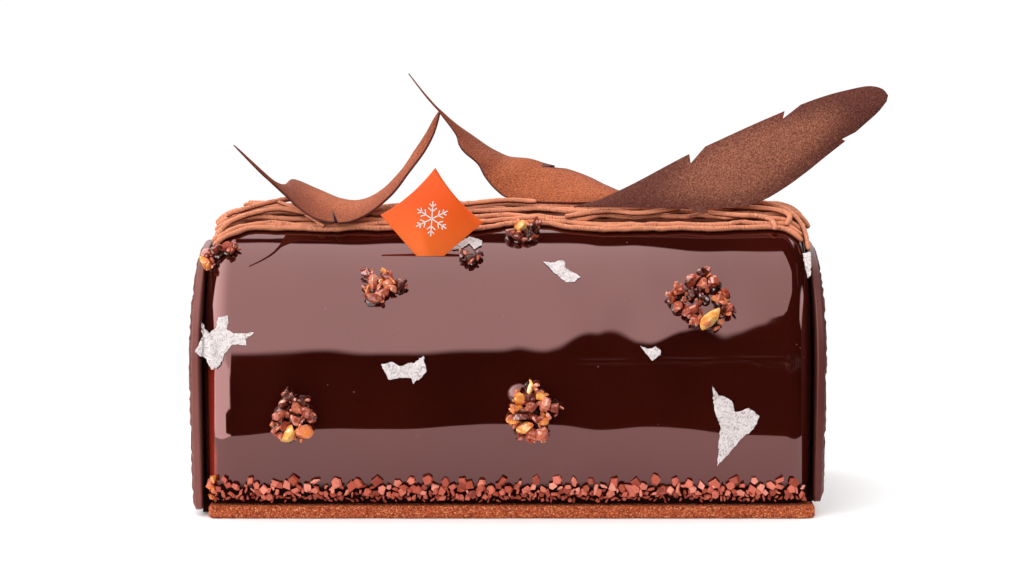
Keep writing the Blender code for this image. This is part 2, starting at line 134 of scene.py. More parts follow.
# The pale nut and the silver leaf; the leaf's steps, thickness and lifts are in millimetres
GOLDEN_NUT_ALONG = -0.0878
LEAF_EDGE_STEP = 0.6
LEAF_NET_STEP = 0.45
LEAF_HALF_THICKNESS = 0.03
LEAF_PAST_LEFT = -0.0905
LEAF_PAST_RIGHT = 0.0880
LEAF_LEFT_LIFT = 0.7
LEAF_RIGHT_LIFT = 0.4

# The white board that the cake stands on
FLOOR_HALF_LENGTH = 0.206
FLOOR_HALF_WIDTH = 0.143
FLOOR_DROP = 0.00005

# Light: strengths of what the glaze mirrors, of the fill and of the backdrop
OVER_LIGHT = 2.48
LEFT_LIGHT = 4.5
BACK_LIGHT = 2.2
STRIP_LIGHT = 2.8
ROOM_LIGHT = 0.30
DARK_LIGHT = 0.010
FILL_ABOVE = 1.50
FILL_LEFT = 1.95
FILL_ROUND = 0.07
BACKDROP_LIGHT = 1.02
LAMP_PLACE = Vector((-0.22, -0.50, 0.84))
LAMP_AIM = Vector((0.0, 0.0, 0.06))
LAMP_SIZE = 0.30
LAMP_ENERGY = 0.75

# Camera
CAMERA_PLACE = (0.0012, -0.844, 0.1678)
CAMERA_PITCH = 83.0
CAMERA_LENS = 96.0

# Feathers: pairs of points on the lower and upper edge, from the quill's point to the tip
FEATHER_LEFT = (
    ((-0.0813, -0.0360, 0.1111), (-0.0812, -0.0360, 0.1113)),
    ((-0.0740, -0.0265, 0.1020), (-0.0737, -0.0255, 0.1024)),
    ((-0.0707, -0.0210, 0.0981), (-0.0704, -0.0185, 0.0986)),
    ((-0.0669, -0.0185, 0.0942), (-0.0684, -0.0100, 0.0972)),
    ((-0.0634, -0.0180, 0.0908), (-0.0664, -0.0015, 0.0980)),
    ((-0.0577, -0.0195, 0.0875), (-0.0600, 0.0035, 0.0949)),
    ((-0.0502, -0.0200, 0.0865), (-0.0521, 0.0020, 0.0918)),
    ((-0.0433, -0.0185, 0.0886), (-0.0455, 0.0015, 0.0914)),
    ((-0.0356, -0.0145, 0.0945), (-0.0391, 0.0005, 0.0944)),
    ((-0.0303, -0.0110, 0.1012), (-0.0330, -0.0005, 0.1005)),
    ((-0.0258, -0.0080, 0.1071), (-0.0289, -0.0015, 0.1067)),
    ((-0.0230, -0.0055, 0.1122), (-0.0254, -0.0020, 0.1120)),
    ((-0.0215, -0.0040, 0.1167), (-0.0228, -0.0025, 0.1167)),
    ((-0.0211, -0.0032, 0.1189), (-0.0212, -0.0030, 0.1189)),
)
FEATHER_MIDDLE = (
    ((-0.0310, 0.0060, 0.1305), (-0.0308, 0.0060, 0.1306)),
    ((-0.0253, 0.0060, 0.1230), (-0.0251, 0.0060, 0.1235)),
    ((-0.0210, 0.0060, 0.1179), (-0.0208, 0.0065, 0.1187)),
    ((-0.0164, 0.0040, 0.1121), (-0.0160, 0.0075, 0.1144)),
    ((-0.0152, 0.0015, 0.1088), (-0.0110, 0.0085, 0.1108)),
    ((-0.0133, -0.0005, 0.1064), (-0.0067, 0.0095, 0.1077)),
    ((-0.0093, -0.0020, 0.1031), (-0.0029, 0.0105, 0.1055)),
    ((-0.0071, -0.0030, 0.0992), (0.0009, 0.0110, 0.1040)),
    ((-0.0038, -0.0040, 0.0953), (0.0066, 0.0110, 0.1035)),
    ((0.0005, -0.0045, 0.0926), (0.0116, 0.0108, 0.1020)),
    ((0.0101, -0.0050, 0.0914), (0.0185, 0.0102, 0.1003)),
    ((0.0208, -0.0052, 0.0912), (0.0248, 0.0080, 0.0982)),
    ((0.0285, -0.0050, 0.0915), (0.0303, 0.0040, 0.0958)),
    ((0.0357, -0.0040, 0.0924), (0.0354, -0.0005, 0.0939)),
)
FEATHER_RIGHT = (
    ((0.0201, -0.0135, 0.0906), (0.0201, -0.0135, 0.0909)),
    ((0.0274, -0.0140, 0.0907), (0.0272, -0.0130, 0.0926)),
    ((0.0347, -0.0143, 0.0907), (0.0340, -0.0120, 0.0955)),
    ((0.0432, -0.0145, 0.0906), (0.0408, -0.0108, 0.0988)),
    ((0.0523, -0.0146, 0.0906), (0.0479, -0.0092, 0.1025)),
    ((0.0615, -0.0144, 0.0905), (0.0556, -0.0078, 0.1064)),
    ((0.0701, -0.0140, 0.0906), (0.0639, -0.0062, 0.1101)),
    ((0.0775, -0.0125, 0.0925), (0.0726, -0.0048, 0.1140)),
    ((0.0844, -0.0106, 0.0962), (0.0812, -0.0036, 0.1177)),
    ((0.0913, -0.0090, 0.1010), (0.0899, -0.0028, 0.1212)),
    ((0.0976, -0.0074, 0.1059), (0.0979, -0.0022, 0.1240)),
    ((0.1035, -0.0060, 0.1104), (0.1053, -0.0018, 0.1259)),
    ((0.1086, -0.0048, 0.1147), (0.1111, -0.0015, 0.1269)),
    ((0.1136, -0.0036, 0.1190), (0.1151, -0.0015, 0.1261)),
    ((0.1165, -0.0029, 0.1224), (0.1169, -0.0020, 0.1241)),
)
# Nicks between barbs: edge (0 lower, 1 upper), place of the barb's point along the blade, depth
# across it, reach of the slanting side, and how far the foot is cut back under the barb
NICKS_LEFT = ((0, 0.437, 0.24, 0.010, 0.004),)
NICKS_MIDDLE = ((1, 0.727, 0.13, 0.040, 0.032),)
NICKS_RIGHT = (
    (1, 0.357, 0.17, 0.043, 0.006),
    (1, 0.603, 0.10, 0.042, 0.008),
    (0, 0.786, 0.09, 0.045, 0.016),
)
# Patches of powder: place along the blade, place across it, reach along, reach across, amount
POWDER_LEFT = ((0.47, 0.60, 0.14, 0.50, 0.8), (0.72, 0.5, 0.12, 0.5, 0.4))
POWDER_MIDDLE = ((0.66, 0.50, 0.22, 0.60, 0.9), (0.88, 0.40, 0.16, 0.40, 0.5))
POWDER_RIGHT = (
    (0.48, 0.55, 0.16, 0.40, 0.95),
    (0.64, 0.52, 0.13, 0.30, 0.6),
    (0.36, 0.40, 0.10, 0.35, 0.25),
)
# Parts worn bare in the same way
BARE_LEFT = ((0.33, 1.05, 0.10, 0.13, 1.4),)


# Materials: sums on a wired value add the nodes that work them out

class Value:
    """One output among a finish's nodes, which can stand in a sum like a number."""

    def __init__(self, finish, socket):
        self.finish = finish
        self.socket = socket

    def sum(self, operation, *values):
        return self.finish.node("ShaderNodeMath", {"operation": operation}, dict(enumerate(values)))

    def __add__(self, other):
        return self.sum("ADD", self, other)

    def __sub__(self, other):
        return self.sum("SUBTRACT", self, other)

    def __rsub__(self, other):
        return self.sum("SUBTRACT", other, self)

    def __mul__(self, other):
        return self.sum("MULTIPLY", self, other)

    __radd__ = __add__
    __rmul__ = __mul__

    def sine(self):
        return self.sum("SINE", self)

    def size(self):
        return self.sum("ABSOLUTE", self)


class Finish:
    """Nodes of one material, or of the world, made by ordinary-looking expressions."""

    def __init__(self, owner):
        owner.use_nodes = True
        self.owner = owner
        self.tree = owner.node_tree

    def node(self, kind, settings=None, sockets=None, output=0):
        made = self.tree.nodes.new(kind)
        for name, setting in (settings or {}).items():
            if name == "stops":
                self.set_stops(made.color_ramp, setting)
            else:
                setattr(made, name, setting)
        for key, value in (sockets or {}).items():
            self.plug(made.inputs[key], value)
        return Value(self, made.outputs[output])

    def plug(self, socket, value):
        if isinstance(value, Value):
            self.tree.links.new(value.socket, socket)
        else:
            socket.default_value = value

    def set_stops(self, ramp, stops):
        while len(ramp.elements) < len(stops):
            ramp.elements.new(1.0)
        for element, (position, color) in zip(ramp.elements, stops):
            element.position = position
            element.color = (*color, 1.0)

    def place(self):
        return self.node("ShaderNodeTexCoord", output="Object")

    def mark(self, name):
        return self.node("ShaderNodeAttribute", {"attribute_name": name}, output="Fac")

    def part(self, where, axis):
        return self.node("ShaderNodeSeparateXYZ", None, {0: where}, axis)

    def cloud(self, where, scale, detail=2.0, roughness=0.5, warp=0.0):
        return self.node("ShaderNodeTexNoise", None, {
            "Vector": where,
            "Scale": scale,
            "Detail": detail,
            "Roughness": roughness,
            "Distortion": warp,
        })

    def cells(self, where, scale, output="Distance"):
        return self.node("ShaderNodeTexVoronoi", None, {"Vector": where, "Scale": scale}, output)

    def between(self, value, low, high):
        """0 below low, 1 above high, and a smooth rise between them."""
        sockets = {"Value": value, "From Min": low, "From Max": high}
        return self.node("ShaderNodeMapRange", {"interpolation_type": "SMOOTHSTEP"}, sockets)

    def span(self, value, rise, fall):
        """1 between two soft edges and 0 outside them."""
        return self.between(value, *rise) * (1.0 - self.between(value, *fall))

    def mix(self, share, first, second):
        """A colour on the way from the first to the second."""
        sockets = {0: share, 6: self.color(first), 7: self.color(second)}
        return self.node("ShaderNodeMix", {"data_type": "RGBA"}, sockets, 2)

    def color(self, value):
        return value if isinstance(value, Value) else (*value, 1.0)

    def bump(self, height, distance, strength=1.0):
        sockets = {"Height": height, "Distance": distance, "Strength": strength}
        return self.node("ShaderNodeBump", None, sockets)

    def coat_surface(self, sockets, share=None, other=None):
        """Set the material's shader, mix a share of another shader into it, and hand the material over."""
        shader = self.tree.nodes["Principled BSDF"]
        for name, value in sockets.items():
            self.plug(shader.inputs[name], value)
        if other is not None:
            own = Value(self, shader.outputs[0])
            both = self.node("ShaderNodeMixShader", None, {0: share, 1: own, 2: other})
            self.plug(self.tree.nodes["Material Output"].inputs["Surface"], both)
        return self.owner


def new_finish(name):
    return Finish(bpy.data.materials.new(name))


def mirror_glaze():
    """Dark chocolate glaze with a wet shine, a reddish depth and a few specks of dust, a painted red glow
    where it is thin on the left end's edge, and painted shade at its foot.
    """
    finish = new_finish("mirror_glaze")
    where = finish.place()
    # Painted shade: the foot mark mixes in a dull near-black finish at the log's foot and in the gaps at its
    # ends
    foot = finish.mark("foot")
    depth = finish.cloud(where, 22.0, 3.0)
    color = finish.mix(finish.between(depth, 0.35, 0.7), (0.026, 0.0026, 0.0014), (0.038, 0.0038, 0.0021))
    # Painted glow: red where the glaze is thin on the left end's edge, as light shining through it
    color = finish.mix(finish.mark("thin"), color, (0.26, 0.020, 0.009))
    speck = finish.cells(where, 330.0)
    chance = finish.cloud(where, 160.0)
    dusty = (1.0 - finish.between(speck, 0.03, 0.09)) * finish.between(chance, 0.60, 0.63)
    color = finish.mix(dusty * 0.5, color, (0.34, 0.16, 0.15))
    # The dull near-black finish that paints the shade at the foot
    crumb = finish.node("ShaderNodeBsdfPrincipled", None, {
        "Base Color": finish.mix(depth, (0.008, 0.0012, 0.0008), (0.020, 0.0030, 0.0018)),
        "Roughness": 0.8,
        "Specular IOR Level": 0.08,
    })
    return finish.coat_surface({
        "Base Color": color,
        "Roughness": finish.between(depth, 0.2, 0.8) * 0.015 + 0.02 + dusty * 0.3,
        "IOR": 2.0,
        "Specular Tint": (1.0, 0.525, 0.505, 1.0),
    }, foot, crumb)


def chestnut_cream():
    """Matt piped cream: fine uneven wrinkles across each strand, and a grain in its colour, with painted
    shade in the wrinkles' grooves, on each strand's underside and on the bed under the loose layer.
    """
    finish = new_finish("chestnut_cream")
    where = finish.place()
    run = finish.mark("run")
    patch = finish.cloud(where, 210.0, 3.0)
    grain = finish.cloud(where, 2600.0, 2.0)
    wrinkles = (run * 6400.0 + patch * 60.0 + grain * 5.0).sine()
    color = finish.mix(patch, (0.72, 0.240, 0.120), (0.88, 0.365, 0.215))
    color = finish.mix(finish.between(grain, 0.52, 0.75) * 0.35, color, (0.34, 0.075, 0.028))
    # Painted shade: strands darker on their undersides and on the bed under the loose layer
    under = finish.between(finish.mark("under"), 0.38, 0.80)
    color = finish.mix(under * 0.95, color, (0.080, 0.009, 0.002))
    # Painted shade in the wrinkles' grooves, in patches, where the bump also sinks the surface
    grooves_and_shade = finish.between(wrinkles, 0.50, 1.0) * finish.between(patch, 0.38, 0.58)
    color = finish.mix(grooves_and_shade * 0.5, color, (0.25, 0.050, 0.018))
    height = finish.bump(finish.cloud(where, 2900.0, 3.0) - grooves_and_shade * 0.9, 0.00034, 0.8)
    return finish.coat_surface({
        "Base Color": color,
        "Roughness": 0.66,
        "Specular IOR Level": 0.2,
        "Normal": height,
    })


def dusted_chocolate(name, bare, powder, gold, dark, rim_color):
    """Tempered chocolate sprayed with powder, thickest where it is marked, and bare along its rim."""
    finish = new_finish(name)
    where = finish.place()
    rim = finish.mark("rim")
    sprayed = finish.mark("powder")
    grain = finish.cloud(where, 1950.0, 2.0, 0.6)
    coarse = finish.cloud(where, 850.0, 2.0)
    drift = finish.cloud(where, 60.0, 3.0)
    laid = finish.between(sprayed + drift * 0.40 + coarse * 0.30, 0.30, 1.20)
    color = finish.mix(laid, bare, powder)
    color = finish.mix(finish.between(grain, 0.50, 0.72) * (laid * 0.55 + 0.15), color, gold)
    color = finish.mix((1.0 - finish.between(grain, 0.32, 0.52)) * 0.62, color, dark)
    worn = finish.between(rim + coarse * 0.3, 0.75, 1.1)
    color = finish.mix(worn, color, rim_color)
    height = finish.bump(grain + coarse * 0.5, 0.00045, 1.0)
    return finish.coat_surface({
        "Base Color": color,
        "Roughness": 0.72 - worn * 0.25,
        "Specular IOR Level": 0.2,
        "Normal": height,
    })


def plain_chocolate():
    """Snapped dark chocolate: satin where it was moulded, dull and pale where it was hewn.

    The left plaque's edge is painted lighter, as light from the left falling on it, and the hewn face's pits
    are painted dark as shade.
    """
    finish = new_finish("plain_chocolate")
    where = finish.place()
    hewn = finish.mark("hewn")
    patch = finish.cloud(where, 120.0, 4.0)
    fine = finish.cloud(where, 1500.0, 3.0)
    dust = finish.cells(where, 900.0)
    pits_and_shade = finish.cells(where, 420.0)
    across = finish.part(where, "X")
    # Painted light: the left plaque's edge is lighter, as lit from the left
    painted_left_light = 1.0 - finish.between(across, -0.05, 0.05) - finish.between(0.0 - across, 0.0934, 0.0943) * 0.85
    color = finish.mix(patch, (0.062, 0.012, 0.009), (0.105, 0.025, 0.020))
    color = finish.mix(painted_left_light, color, finish.mix(patch, (0.155, 0.048, 0.040), (0.235, 0.080, 0.068)))
    color = finish.mix(hewn * finish.between(fine, 0.40, 0.66) * 0.6, color, (0.30, 0.115, 0.100))
    # Painted shade: dark in the small pits that the bump sinks into the hewn face
    color = finish.mix(hewn * (1.0 - finish.between(pits_and_shade, 0.10, 0.30)) * 0.7, color, (0.035, 0.007, 0.006))
    crumbs = hewn * (1.0 - finish.between(dust, 0.10, 0.22)) * finish.between(patch, 0.52, 0.62)
    color = finish.mix(crumbs, color, (0.50, 0.26, 0.22))
    height = finish.bump((fine * 0.4 + pits_and_shade) * hewn + patch * 0.3, 0.00070, 0.8)
    return finish.coat_surface({
        "Base Color": color,
        "Roughness": hewn * 0.18 + 0.40,
        "IOR": 1.42,
        "Specular Tint": (1.0, 0.62, 0.60, 1.0),
        "Normal": height,
    })


def crumbly_biscuit():
    """Baked cocoa biscuit: coarse light grains in a dark open crumb."""
    finish = new_finish("crumbly_biscuit")
    where = finish.place()
    grain = finish.cells(where, 1900.0)
    tint = finish.node("ShaderNodeVectorMath", {"operation": "DOT_PRODUCT"},
                       {0: finish.cells(where, 1900.0, "Color"), 1: (0.6, 0.4, 0.0)}, "Value")
    fine = finish.cloud(where, 2400.0, 3.0, 0.7)
    patch = finish.cloud(where, 130.0, 3.0)
    color = finish.mix(patch, (0.50, 0.094, 0.033), (0.66, 0.146, 0.055))
    color = finish.mix(finish.between(tint, 0.55, 0.90) * 0.8, color, (0.93, 0.35, 0.15))
    color = finish.mix((1.0 - finish.between(tint, 0.16, 0.34)) * 0.8, color, (0.22, 0.035, 0.012))
    color = finish.mix(finish.between(grain, 0.40, 0.68) * 0.7, color, (0.20, 0.032, 0.011))
    height = finish.bump(fine * 0.5 - grain, 0.0006, 0.85)
    return finish.coat_surface({
        "Base Color": color,
        "Roughness": 0.9,
        "Specular IOR Level": 0.2,
        "Normal": height,
    })


def cocoa_nib():
    """Chopped milk-brown chips, each with a tone of its own, those low on the foot painted darker as shade.
    """
    finish = new_finish("cocoa_nib")
    where = finish.place()
    tone = finish.mark("tone")
    patch = finish.cloud(where, 700.0, 3.0)
    stops = [(0.0, (0.11, 0.012, 0.006)), (0.30, (0.38, 0.060, 0.030)), (0.65, (0.62, 0.150, 0.095)),
             (1.0, (0.88, 0.34, 0.25))]
    color = finish.node("ShaderNodeValToRGB", {"stops": stops}, {"Fac": tone * 0.85 + patch * 0.2})
    height = finish.bump(patch, 0.0004, 0.5)
    return finish.coat_surface({
        "Base Color": color,
        "Roughness": 0.42,
        "Specular IOR Level": 0.3,
        "Normal": height,
    })


def caramel_nuts():
    """Nibs and nuts in caramel: dark cocoa, amber and golden nut, sticky and bright in places."""
    finish = new_finish("caramel_nuts")
    where = finish.place()
    tone = finish.mark("tone")
    patch = finish.cloud(where, 520.0, 4.0, 0.6, 0.6)
    fine = finish.cloud(where, 1800.0, 3.0)
    stops = [(0.0, (0.016, 0.0016, 0.0008)), (0.20, (0.10, 0.011, 0.005)), (0.36, (0.36, 0.055, 0.026)),
             (0.54, (0.64, 0.190, 0.110)), (0.68, (0.78, 0.200, 0.045)), (0.86, (0.95, 0.44, 0.090)),
             (1.0, (1.00, 0.74, 0.36))]
    color = finish.node("ShaderNodeValToRGB", {"stops": stops}, {"Fac": tone * 0.95 + (patch - 0.5) * 0.70})
    height = finish.bump(patch + fine * 0.5, 0.00035, 0.7)
    return finish.coat_surface({
        "Base Color": color,
        "Roughness": finish.between(fine, 0.35, 0.65) * 0.25 + 0.18,
        "Specular IOR Level": 0.5,
        "Specular Tint": (1.0, 0.60, 0.50, 1.0),
        "Coat Weight": finish.between(patch, 0.48, 0.58) * 0.9,
        "Coat IOR": 1.9,
        "Coat Roughness": 0.07,
        "Normal": height,
    })


def orange_card():
    """Satin orange card, painted lighter towards its foot as light thrown up by the glaze below."""
    finish = new_finish("orange_card")
    where = finish.place()
    patch = finish.cloud(where, 45.0, 2.0)
    color = finish.mix(patch, (0.80, 0.084, 0.005), (0.86, 0.102, 0.008))
    height = finish.part(where, "Z")
    # Painted light: lighter towards the foot
    color = finish.mix(1.0 - finish.between(height, 0.074, 0.094), color, (1.0, 0.180, 0.026))
    return finish.coat_surface({
        "Base Color": color,
        "Roughness": 0.42,
        "Specular IOR Level": 0.3,
        "Normal": finish.bump(finish.cloud(where, 1900.0, 2.0), 0.00004, 0.3),
    })


def white_print():
    """White print, worn in places."""
    finish = new_finish("white_print")
    where = finish.place()
    wear = finish.cloud(where, 1500.0, 2.0)
    color = finish.mix(finish.between(wear, 0.6, 0.8) * 0.3, (0.86, 0.82, 0.78), (0.9, 0.45, 0.25))
    return finish.coat_surface({
        "Base Color": color,
        "Roughness": 0.5,
    })


def silver_leaf():
    """Edible silver: a crumpled film that scatters most of its light, with painted grey shade along its
    creases.
    """
    finish = new_finish("silver_leaf")
    where = finish.place()
    bend = finish.cloud(where, 420.0, 3.0, 0.6, 1.5)
    fine = finish.cloud(where, 1900.0, 4.0, 0.65, 1.6)
    crease_and_shade = (bend - 0.5).size()
    color = finish.mix(finish.between(fine, 0.52, 0.78), (0.70, 0.630, 0.620), (0.40, 0.33, 0.32))
    # Painted shade: greyer along the creases
    color = finish.mix(1.0 - finish.between(crease_and_shade, 0.0, 0.035), color, (0.30, 0.24, 0.24))
    height = finish.bump(crease_and_shade * 1.4 + fine * 0.8, 0.00030, 0.7)
    return finish.coat_surface({
        "Base Color": color,
        "Metallic": 0.25,
        "Roughness": 0.42,
        "Normal": height,
    })


# Meshes

class Heap:
    """Points, faces and marks of many small bits that are joined into one piece."""

    def __init__(self):
        self.points = []
        self.faces = []
        self.marks = {}

    def add(self, points, faces, **marks):
        start = len(self.points)
        self.points += points
        self.faces += [tuple(start + k for k in face) for face in faces]
        for label, mark in marks.items():
            values = mark if isinstance(mark, list) else [mark] * len(points)
            self.marks.setdefault(label, []).extend(values)

    def piece(self, name, finish, replaced=(), sharp_angle=None):
        """Turn the heap into an object that rides on the cake."""
        mesh = bpy.data.meshes.new(name)
        mesh.from_pydata([tuple(point) for point in self.points], [], self.faces)
        for label, values in self.marks.items():
            layer = mesh.attributes.new(label, "FLOAT", "POINT")
            layer.data.foreach_set("value", values)
        work = bmesh.new()
        work.from_mesh(mesh)
        bmesh.ops.recalc_face_normals(work, faces=work.faces)
        work.to_mesh(mesh)
        work.free()
        mesh.shade_smooth()
        if sharp_angle is not None:
            mesh.set_sharp_from_angle(angle=math.radians(sharp_angle))
        made = bpy.data.objects.new(name, mesh)
        made.data.materials.append(finish)
        bpy.context.scene.collection.objects.link(made)
        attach(made, "root")
        if replaced:
            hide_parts(*replaced)
        return made


def steps(start, end, count):
    return [start + (end - start) * k / count for k in range(count + 1)]


def uneven(along, across, scale, seed):
    """Smooth roughness between -1 and 1."""
    return noise.noise(Vector((along * scale, across * scale, seed)))


def ease(value, low, high):
    """0 below low, 1 above high, and a smooth rise between them."""
    share = min(max((value - low) / (high - low), 0.0), 1.0)
    return share * share * (3.0 - 2.0 * share)


def skin_rings(rings):
    """Points and faces of a closed skin over a row of rings of equal count, with its two ends."""
    count = len(rings[0])
    points = [point for ring in rings for point in ring]
    faces = []
    for row in range(len(rings) - 1):
        for k in range(count):
            near = row * count
            following = (k + 1) % count
            faces.append((near + k, near + following, near + count + following, near + count + k))
    faces.append(tuple(range(count)))
    faces.append(tuple(range(len(points) - count, len(points))))
    return points, faces


def two_skins(triangles, count):
    """Faces of a thin sheet over a net of triangles and a second one below it, and its open edges."""
    edges = {(a, b) for tri in triangles for a, b in zip(tri, tri[1:] + tri[:1])}
    open_edges = sorted((a, b) for a, b in edges if (b, a) not in edges)
    faces = list(triangles) + [tuple(count + k for k in reversed(tri)) for tri in triangles]
    faces += [(b, a, count + a, count + b) for a, b in open_edges]
    return faces, open_edges


def ball(detail):
    """Points and faces of a round ball that is one unit across."""
    work = bmesh.new()
    bmesh.ops.create_icosphere(work, subdivisions=detail, radius=0.5)
    points = [vertex.co.copy() for vertex in work.verts]
    faces = [tuple(vertex.index for vertex in face.verts) for face in work.faces]
    work.free()
    return points, faces


# The log's own surface

def section(turn):
    """The glaze's outline and outward direction at an angle round the arch.

    0 is the widest place at the front, 90 the crest and 180 the widest place at the back. Below 0
    and above 180 the outline runs down the walls to the foot.
    """
    side = -1.0 if turn < 90.0 else 1.0
    down = max(-turn, turn - 180.0, 0.0) / WALL_TURN
    if down > 0.0:
        half_width = CAKE_HALF_WIDTH - CAKE_FOOT_TAPER * down ** 2
        height = CAKE_WIDEST_Z - down * (CAKE_WIDEST_Z - CAKE_FOOT_Z)
        return Vector((0.0, side * half_width, height)), Vector((0.0, side, 0.0))
    angle = math.radians(turn)
    rise = CAKE_TOP_Z - CAKE_WIDEST_Z
    outline = Vector((0.0, -CAKE_HALF_WIDTH * math.cos(angle), CAKE_WIDEST_Z + rise * math.sin(angle)))
    outward = Vector((0.0, -math.cos(angle) / CAKE_HALF_WIDTH, math.sin(angle) / rise))
    return outline, outward.normalized()


def on_cake(along, turn, lift=0.0):
    """Point at a distance along the log and a turn round it, lifted off the glaze.

    Past the straight stretch the distance runs on round the end's rounded edge.
    """
    outline, outward = section(turn)
    straight = CAKE_HALF_LENGTH - END_ROUND
    bend = min(max(abs(along) - straight, 0.0) / END_ROUND, math.pi / 2)
    reach = min(abs(along), straight) + (END_ROUND + lift) * math.sin(bend)
    inset = END_ROUND - (END_ROUND + lift) * math.cos(bend)
    point = outline - outward * inset
    point.x = math.copysign(reach, along)
    return point


TURN_PER_METRE = WALL_TURN / (CAKE_WIDEST_Z - CAKE_FOOT_Z)


def seat(along, turn, lift=0.0):
    """A frame on the glaze: its X runs along the log, its Y up round it and its Z away from it."""
    point = on_cake(along, turn, lift)
    away = (on_cake(along, turn, lift + MM) - point).normalized()
    up = on_cake(along, turn + 0.5, lift) - on_cake(along, turn - 0.5, lift)
    right = up.cross(away).normalized()
    up = away.cross(right)
    return Matrix.Translation(point) @ Matrix((right, up, away)).transposed().to_4x4()


def spot_of(node):
    """Place along the log and turn round it of the middle of a CAD node."""
    low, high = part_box(node)
    middle = (low + high) / 2
    if middle.z < CAKE_WIDEST_Z:
        return middle.x, (middle.z - CAKE_WIDEST_Z) * TURN_PER_METRE
    rise = (middle.z - CAKE_WIDEST_Z) / (CAKE_TOP_Z - CAKE_WIDEST_Z)
    return middle.x, math.degrees(math.atan2(rise, -middle.y / CAKE_HALF_WIDTH))


# Log, base and plaques

def glazed_log(finish):
    """The log under its mirror glaze, which set in faint waves and tucks in at its foot; a strip just above
    the foot is marked for painted shade.
    """
    low_turns = steps(-WALL_TURN, -37.0, 16)
    turns = low_turns + steps(-37.0, 217.0, 230)[1:-1] + [180.0 - turn for turn in reversed(low_turns)]
    straight = CAKE_HALF_LENGTH - END_ROUND
    rounded = steps(straight + END_ROUND * math.pi / 2, straight, 20)
    distances = [-distance for distance in rounded] + steps(-straight, straight, 150)[1:-1] + rounded[::-1]
    rings = []
    shaded_feet = []
    thin_glows = []
    for along in distances:
        ring = []
        for turn in turns:
            arc = turn / TURN_PER_METRE
            wave = uneven(along, arc, 26.0, 3.0) + 0.22 * uneven(along, arc, 75.0, 9.0)
            calm = (1.0 - ease(abs(along), straight, straight + END_ROUND)) * ease(turn, -WALL_TURN, -30.0)
            point = on_cake(along, turn, GLAZE_WAVE * wave * calm)
            drop = ease(abs(turn - 90.0), FOOT_TURN - 2.6, FOOT_TURN - 0.6)
            point.y -= math.copysign(FOOT_TUCK * drop, point.y)
            ring.append(point)
            # Painted shade: the strip just above the foot takes the dull dark finish
            shaded_feet.append(ease(abs(turn - 90.0), FOOT_TURN - 8.0, FOOT_TURN - 6.0))
            # On the left end's edge the glaze ran thin, and a painted red glow there stands in for light
            # shining through it
            ragged = 0.0012 * uneven(arc, 0.0, 160.0, 4.0)
            edge = ease(-along - ragged, *THIN_GLOW_RISE) * (1.0 - ease(-along, *THIN_GLOW_FALL))
            thin_glows.append(edge * (1.0 - ease(point.z, 0.046, 0.054)))
        rings.append(ring)
    heap = Heap()
    heap.add(*skin_rings(rings), foot=shaded_feet, thin=thin_glows)
    return heap.piece("glazed_log", finish, ("cake_body",), 60.0)


def plaque_reach(side):
    """Distances along the log from its middle to a plaque's inner and outer face."""
    low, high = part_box("end_plaque_right" if side > 0 else "end_plaque_left")
    return (low.x, high.x) if side > 0 else (-high.x, -low.x)


def shaded_end_glaze(finish):
    """Glaze that set at the foot of the gaps between the log's ends and the plaques; all of it takes the
    dull near-black foot finish and paints the shade in the gaps.
    """
    slab_low, slab_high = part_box("biscuit_base")
    across = steps(-END_GLAZE_HALF_WIDTH, END_GLAZE_HALF_WIDTH, 40)
    heap = Heap()
    for side, slab_end in ((-1.0, -slab_low.x), (1.0, slab_high.x)):
        inner, _ = plaque_reach(side)
        rings = []
        for x in steps(CAKE_HALF_LENGTH - END_GLAZE_LENGTH, inner + 0.0006, 14):
            # Past the end of the biscuit it runs down almost to the board
            foot = 0.0006 if x > slab_end else CAKE_FOOT_Z - 0.0002
            ring = []
            for y in across:
                crown = 1.0 - (y / END_GLAZE_HALF_WIDTH) ** 4
                rise = END_GLAZE_HEIGHT * crown + 0.0008 * uneven(x, y, 160.0, 21.0) * crown
                ring.append(Vector((side * x, y, CAKE_FOOT_Z + 0.0010 + rise)))
            ring += [Vector((side * x, y, foot)) for y in reversed(across)]
            rings.append(ring)
        heap.add(*skin_rings(rings), foot=1.0, thin=0.0)
    return heap.piece("shaded_end_glaze", finish, (), 50.0)


